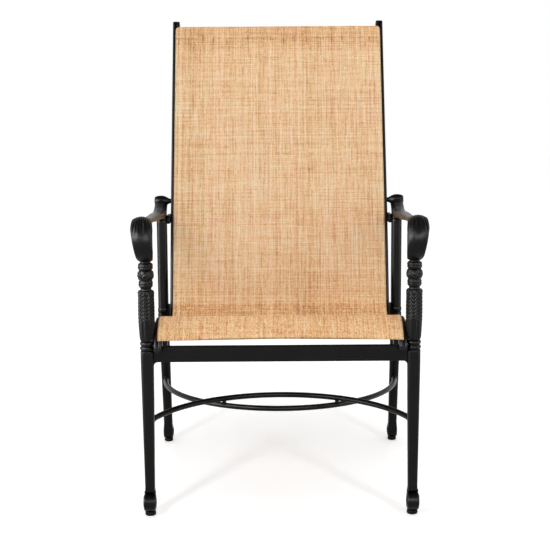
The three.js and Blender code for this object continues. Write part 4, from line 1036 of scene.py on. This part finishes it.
BUTTON_HEAD = [(3.4, 0.0), (4.6, 0.6), (5.5, 1.7), (6.0, 3.2), (6.0, 3.95), (5.6, 4.0), (3.0, 4.0)]
SUNK_HEAD = [(3.6, 0.0), (4.2, 0.1), (4.4, 0.25), (4.4, 0.6), (3.0, 2.8)]
# A hexagon's radii all the way round. Its flats are 1 from its middle.
HEXAGON = 1 / np.cos((circle(36) % (pi / 3)) - pi / 6)


def fixing(node, kind, side, profile):
    """A piece turned on its node's axis, along X. Its head is on this side, -1 or 1.

    Heights count inwards from the head's face. One under 0 is a share of the length.
    """
    low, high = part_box(node)
    face, length = (high.x if side > 0 else low.x) / MM, (high.x - low.x) / MM
    centre = (face, (low.y + high.y) / 2 / MM - SHIFT, (low.z + high.z) / 2 / MM)
    rows = [(r, side * h * length if h < 0 else -side * h) for r, h in profile]
    put(node, kind, Body().turned(rows, centre, "x", len(HEXAGON)), "fixings", 30)


def screw(node, side, head=BUTTON_HEAD):
    """A screw with a hexagon socket."""
    flats = 1.9 * HEXAGON
    socket = [(0, 2.0), (flats * 0.98, 2.0), (flats, 0.15), (flats + 0.25, 0.0)]
    fixing(node, "screw", side, socket + head + [(3.0, -1), (0, -1)])


def cap_nut(node, side):
    flats, tall = 5.2 * HEXAGON, 9.7
    rounded = np.minimum(flats, 5.98)
    profile = [(3.3, 0.0), (flats * 0.93, 0.0), (rounded, 0.5), (rounded, 4.4), (flats * 0.9, 5.0),
               (4.5, 5.1), (4.4, 6.6), (3.7, 8.2), (2.3, 9.3), (0.6, tall), (0, tall)]
    fixing(node, "hex", side, [(r, h / tall - 1) for r, h in profile])


for side, sign in SIDES:
    for node in ("front_spreader_bolt", "top_spreader_bolt"):
        screw(f"{node}_{side}", sign, SUNK_HEAD)
    for node in ("rear_seat_bolt", "back_lug_bolt"):
        screw(f"{node}_{side}", sign)
    for node in ("front_lug_bolt", "arm_bolt"):
        screw(f"{node}_{side}", -sign)
    cap_nut(f"back_lug_nut_{side}", -sign)


# Camera
PITCH, YAW, ROLL = 0.177063, -0.0008, -0.0066
FOCAL_PIXELS, PICTURE_PIXELS, SENSOR = 1300, 550, 36.0
CAMERA_X, CAMERA_Y, CAMERA_Z = -8.6, -2731.19, 1023.64
ahead = Vector((sin(YAW) * cos(PITCH), cos(YAW) * cos(PITCH), -sin(PITCH)))
right = Vector((cos(YAW), -sin(YAW), 0))
up = right.cross(ahead)
rolled_right = cos(ROLL) * right + sin(ROLL) * up
rolled_up = -sin(ROLL) * right + cos(ROLL) * up
camera = bpy.data.cameras.new("camera")
camera.sensor_fit, camera.sensor_width = "HORIZONTAL", SENSOR
camera.lens = FOCAL_PIXELS / PICTURE_PIXELS * SENSOR
camera.clip_start, camera.clip_end = 0.1, 100
eye = show("camera", camera)
turn = Matrix((rolled_right, rolled_up, -ahead)).transposed().to_4x4()
eye.matrix_world = Matrix.Translation(Vector((CAMERA_X, CAMERA_Y + SHIFT, CAMERA_Z)) * MM) @ turn
bpy.context.scene.camera = eye


# Floor and light
# Its places and sizes are in metres, and its powers in watts.
LIGHTING = 0.62  # how bright the set is for the rays that light the object


def floor():
    far, below = 9, -0.0003
    mesh = bpy.data.meshes.new("floor")
    corners = [(x * far, y * far, below) for x, y in ((-1, -1), (1, -1), (1, 1), (-1, 1))]
    mesh.from_pydata(corners, [], [(0, 1, 2, 3)])
    s = Shader("pale_floor")
    seen = s.seen()
    colour = s.mix(seen, (LIGHTING,) * 3, (0.95,) * 3)
    mesh.materials.append(s.fill(Base_Color=colour, Roughness=1.0, Specular_IOR_Level=0.0,
                                 Emission_Strength=seen * 0.40, Emission_Color=(1.0, 1.0, 1.0)))
    show("floor", mesh)


def world():
    made = bpy.data.worlds.new("studio")
    bpy.context.scene.world = made
    made.use_nodes = True
    s = Nodes(made.node_tree)
    # in reflections the ceiling is dim: the set is white up to its top edge alone
    height = s.add("ShaderNodeSeparateXYZ", {0: s.add("ShaderNodeTexCoord", {}, "Generated")}, 2)
    ceiling = s.spread(height, 0.45, 0.80, 0.0, 0.8, interpolation_type="SMOOTHSTEP")
    level = s.spread(s.seen(), 0.0, 1.0, LIGHTING, 1.0) - ceiling * s.ray("Is Glossy Ray")
    back = s.tree.nodes["Background"]
    s.link(level, back.inputs["Strength"])
    s.link((1.0, 1.0, 1.0), back.inputs["Color"])


def lamp(name, at, aim, size, power, diffuse=True, glossy=True):
    """A soft panel that the camera doesn't see. It can be left out of the light or of the reflections."""
    data = bpy.data.lights.new(name, "AREA")
    data.shape, data.energy = "RECTANGLE", power
    data.size, data.size_y = size
    obj = show(name, data)
    obj.location = at
    obj.rotation_mode = "QUATERNION"
    obj.rotation_quaternion = (Vector(aim) - Vector(at)).to_track_quat("-Z", "Y")
    obj.visible_camera, obj.visible_diffuse, obj.visible_glossy = False, diffuse, glossy


floor()
world()
lamp("key", (-1.5, -2.8, 2.1), (0, 0, 0.55), (0.34, 1.2), 30)
lamp("fill", (1.6, -2.7, 1.8), (0, 0, 0.5), (0.30, 1.1), 21)
lamp("top", (0.0, -0.2, 3.2), (0, 0, 0.4), (1.2, 1.0), 22, glossy=False)
lamp("panel_left", (-1.85, -0.70, 1.25), (0, 0, 1.25), (0.9, 2.4), 130, diffuse=False)
lamp("panel_right", (1.85, -0.70, 1.25), (0, 0, 1.25), (0.9, 2.4), 45, diffuse=False)
lamp("glint_left", (-1.7, -1.9, 1.35), (-0.2, 0, 0.6), (1.1, 0.8), 110, diffuse=False)
lamp("glint_front", (0.5, -2.5, 1.35), (0, 0, 0.6), (1.9, 0.6), 70, diffuse=False)
bpy.context.scene.view_settings.view_transform = "Standard"
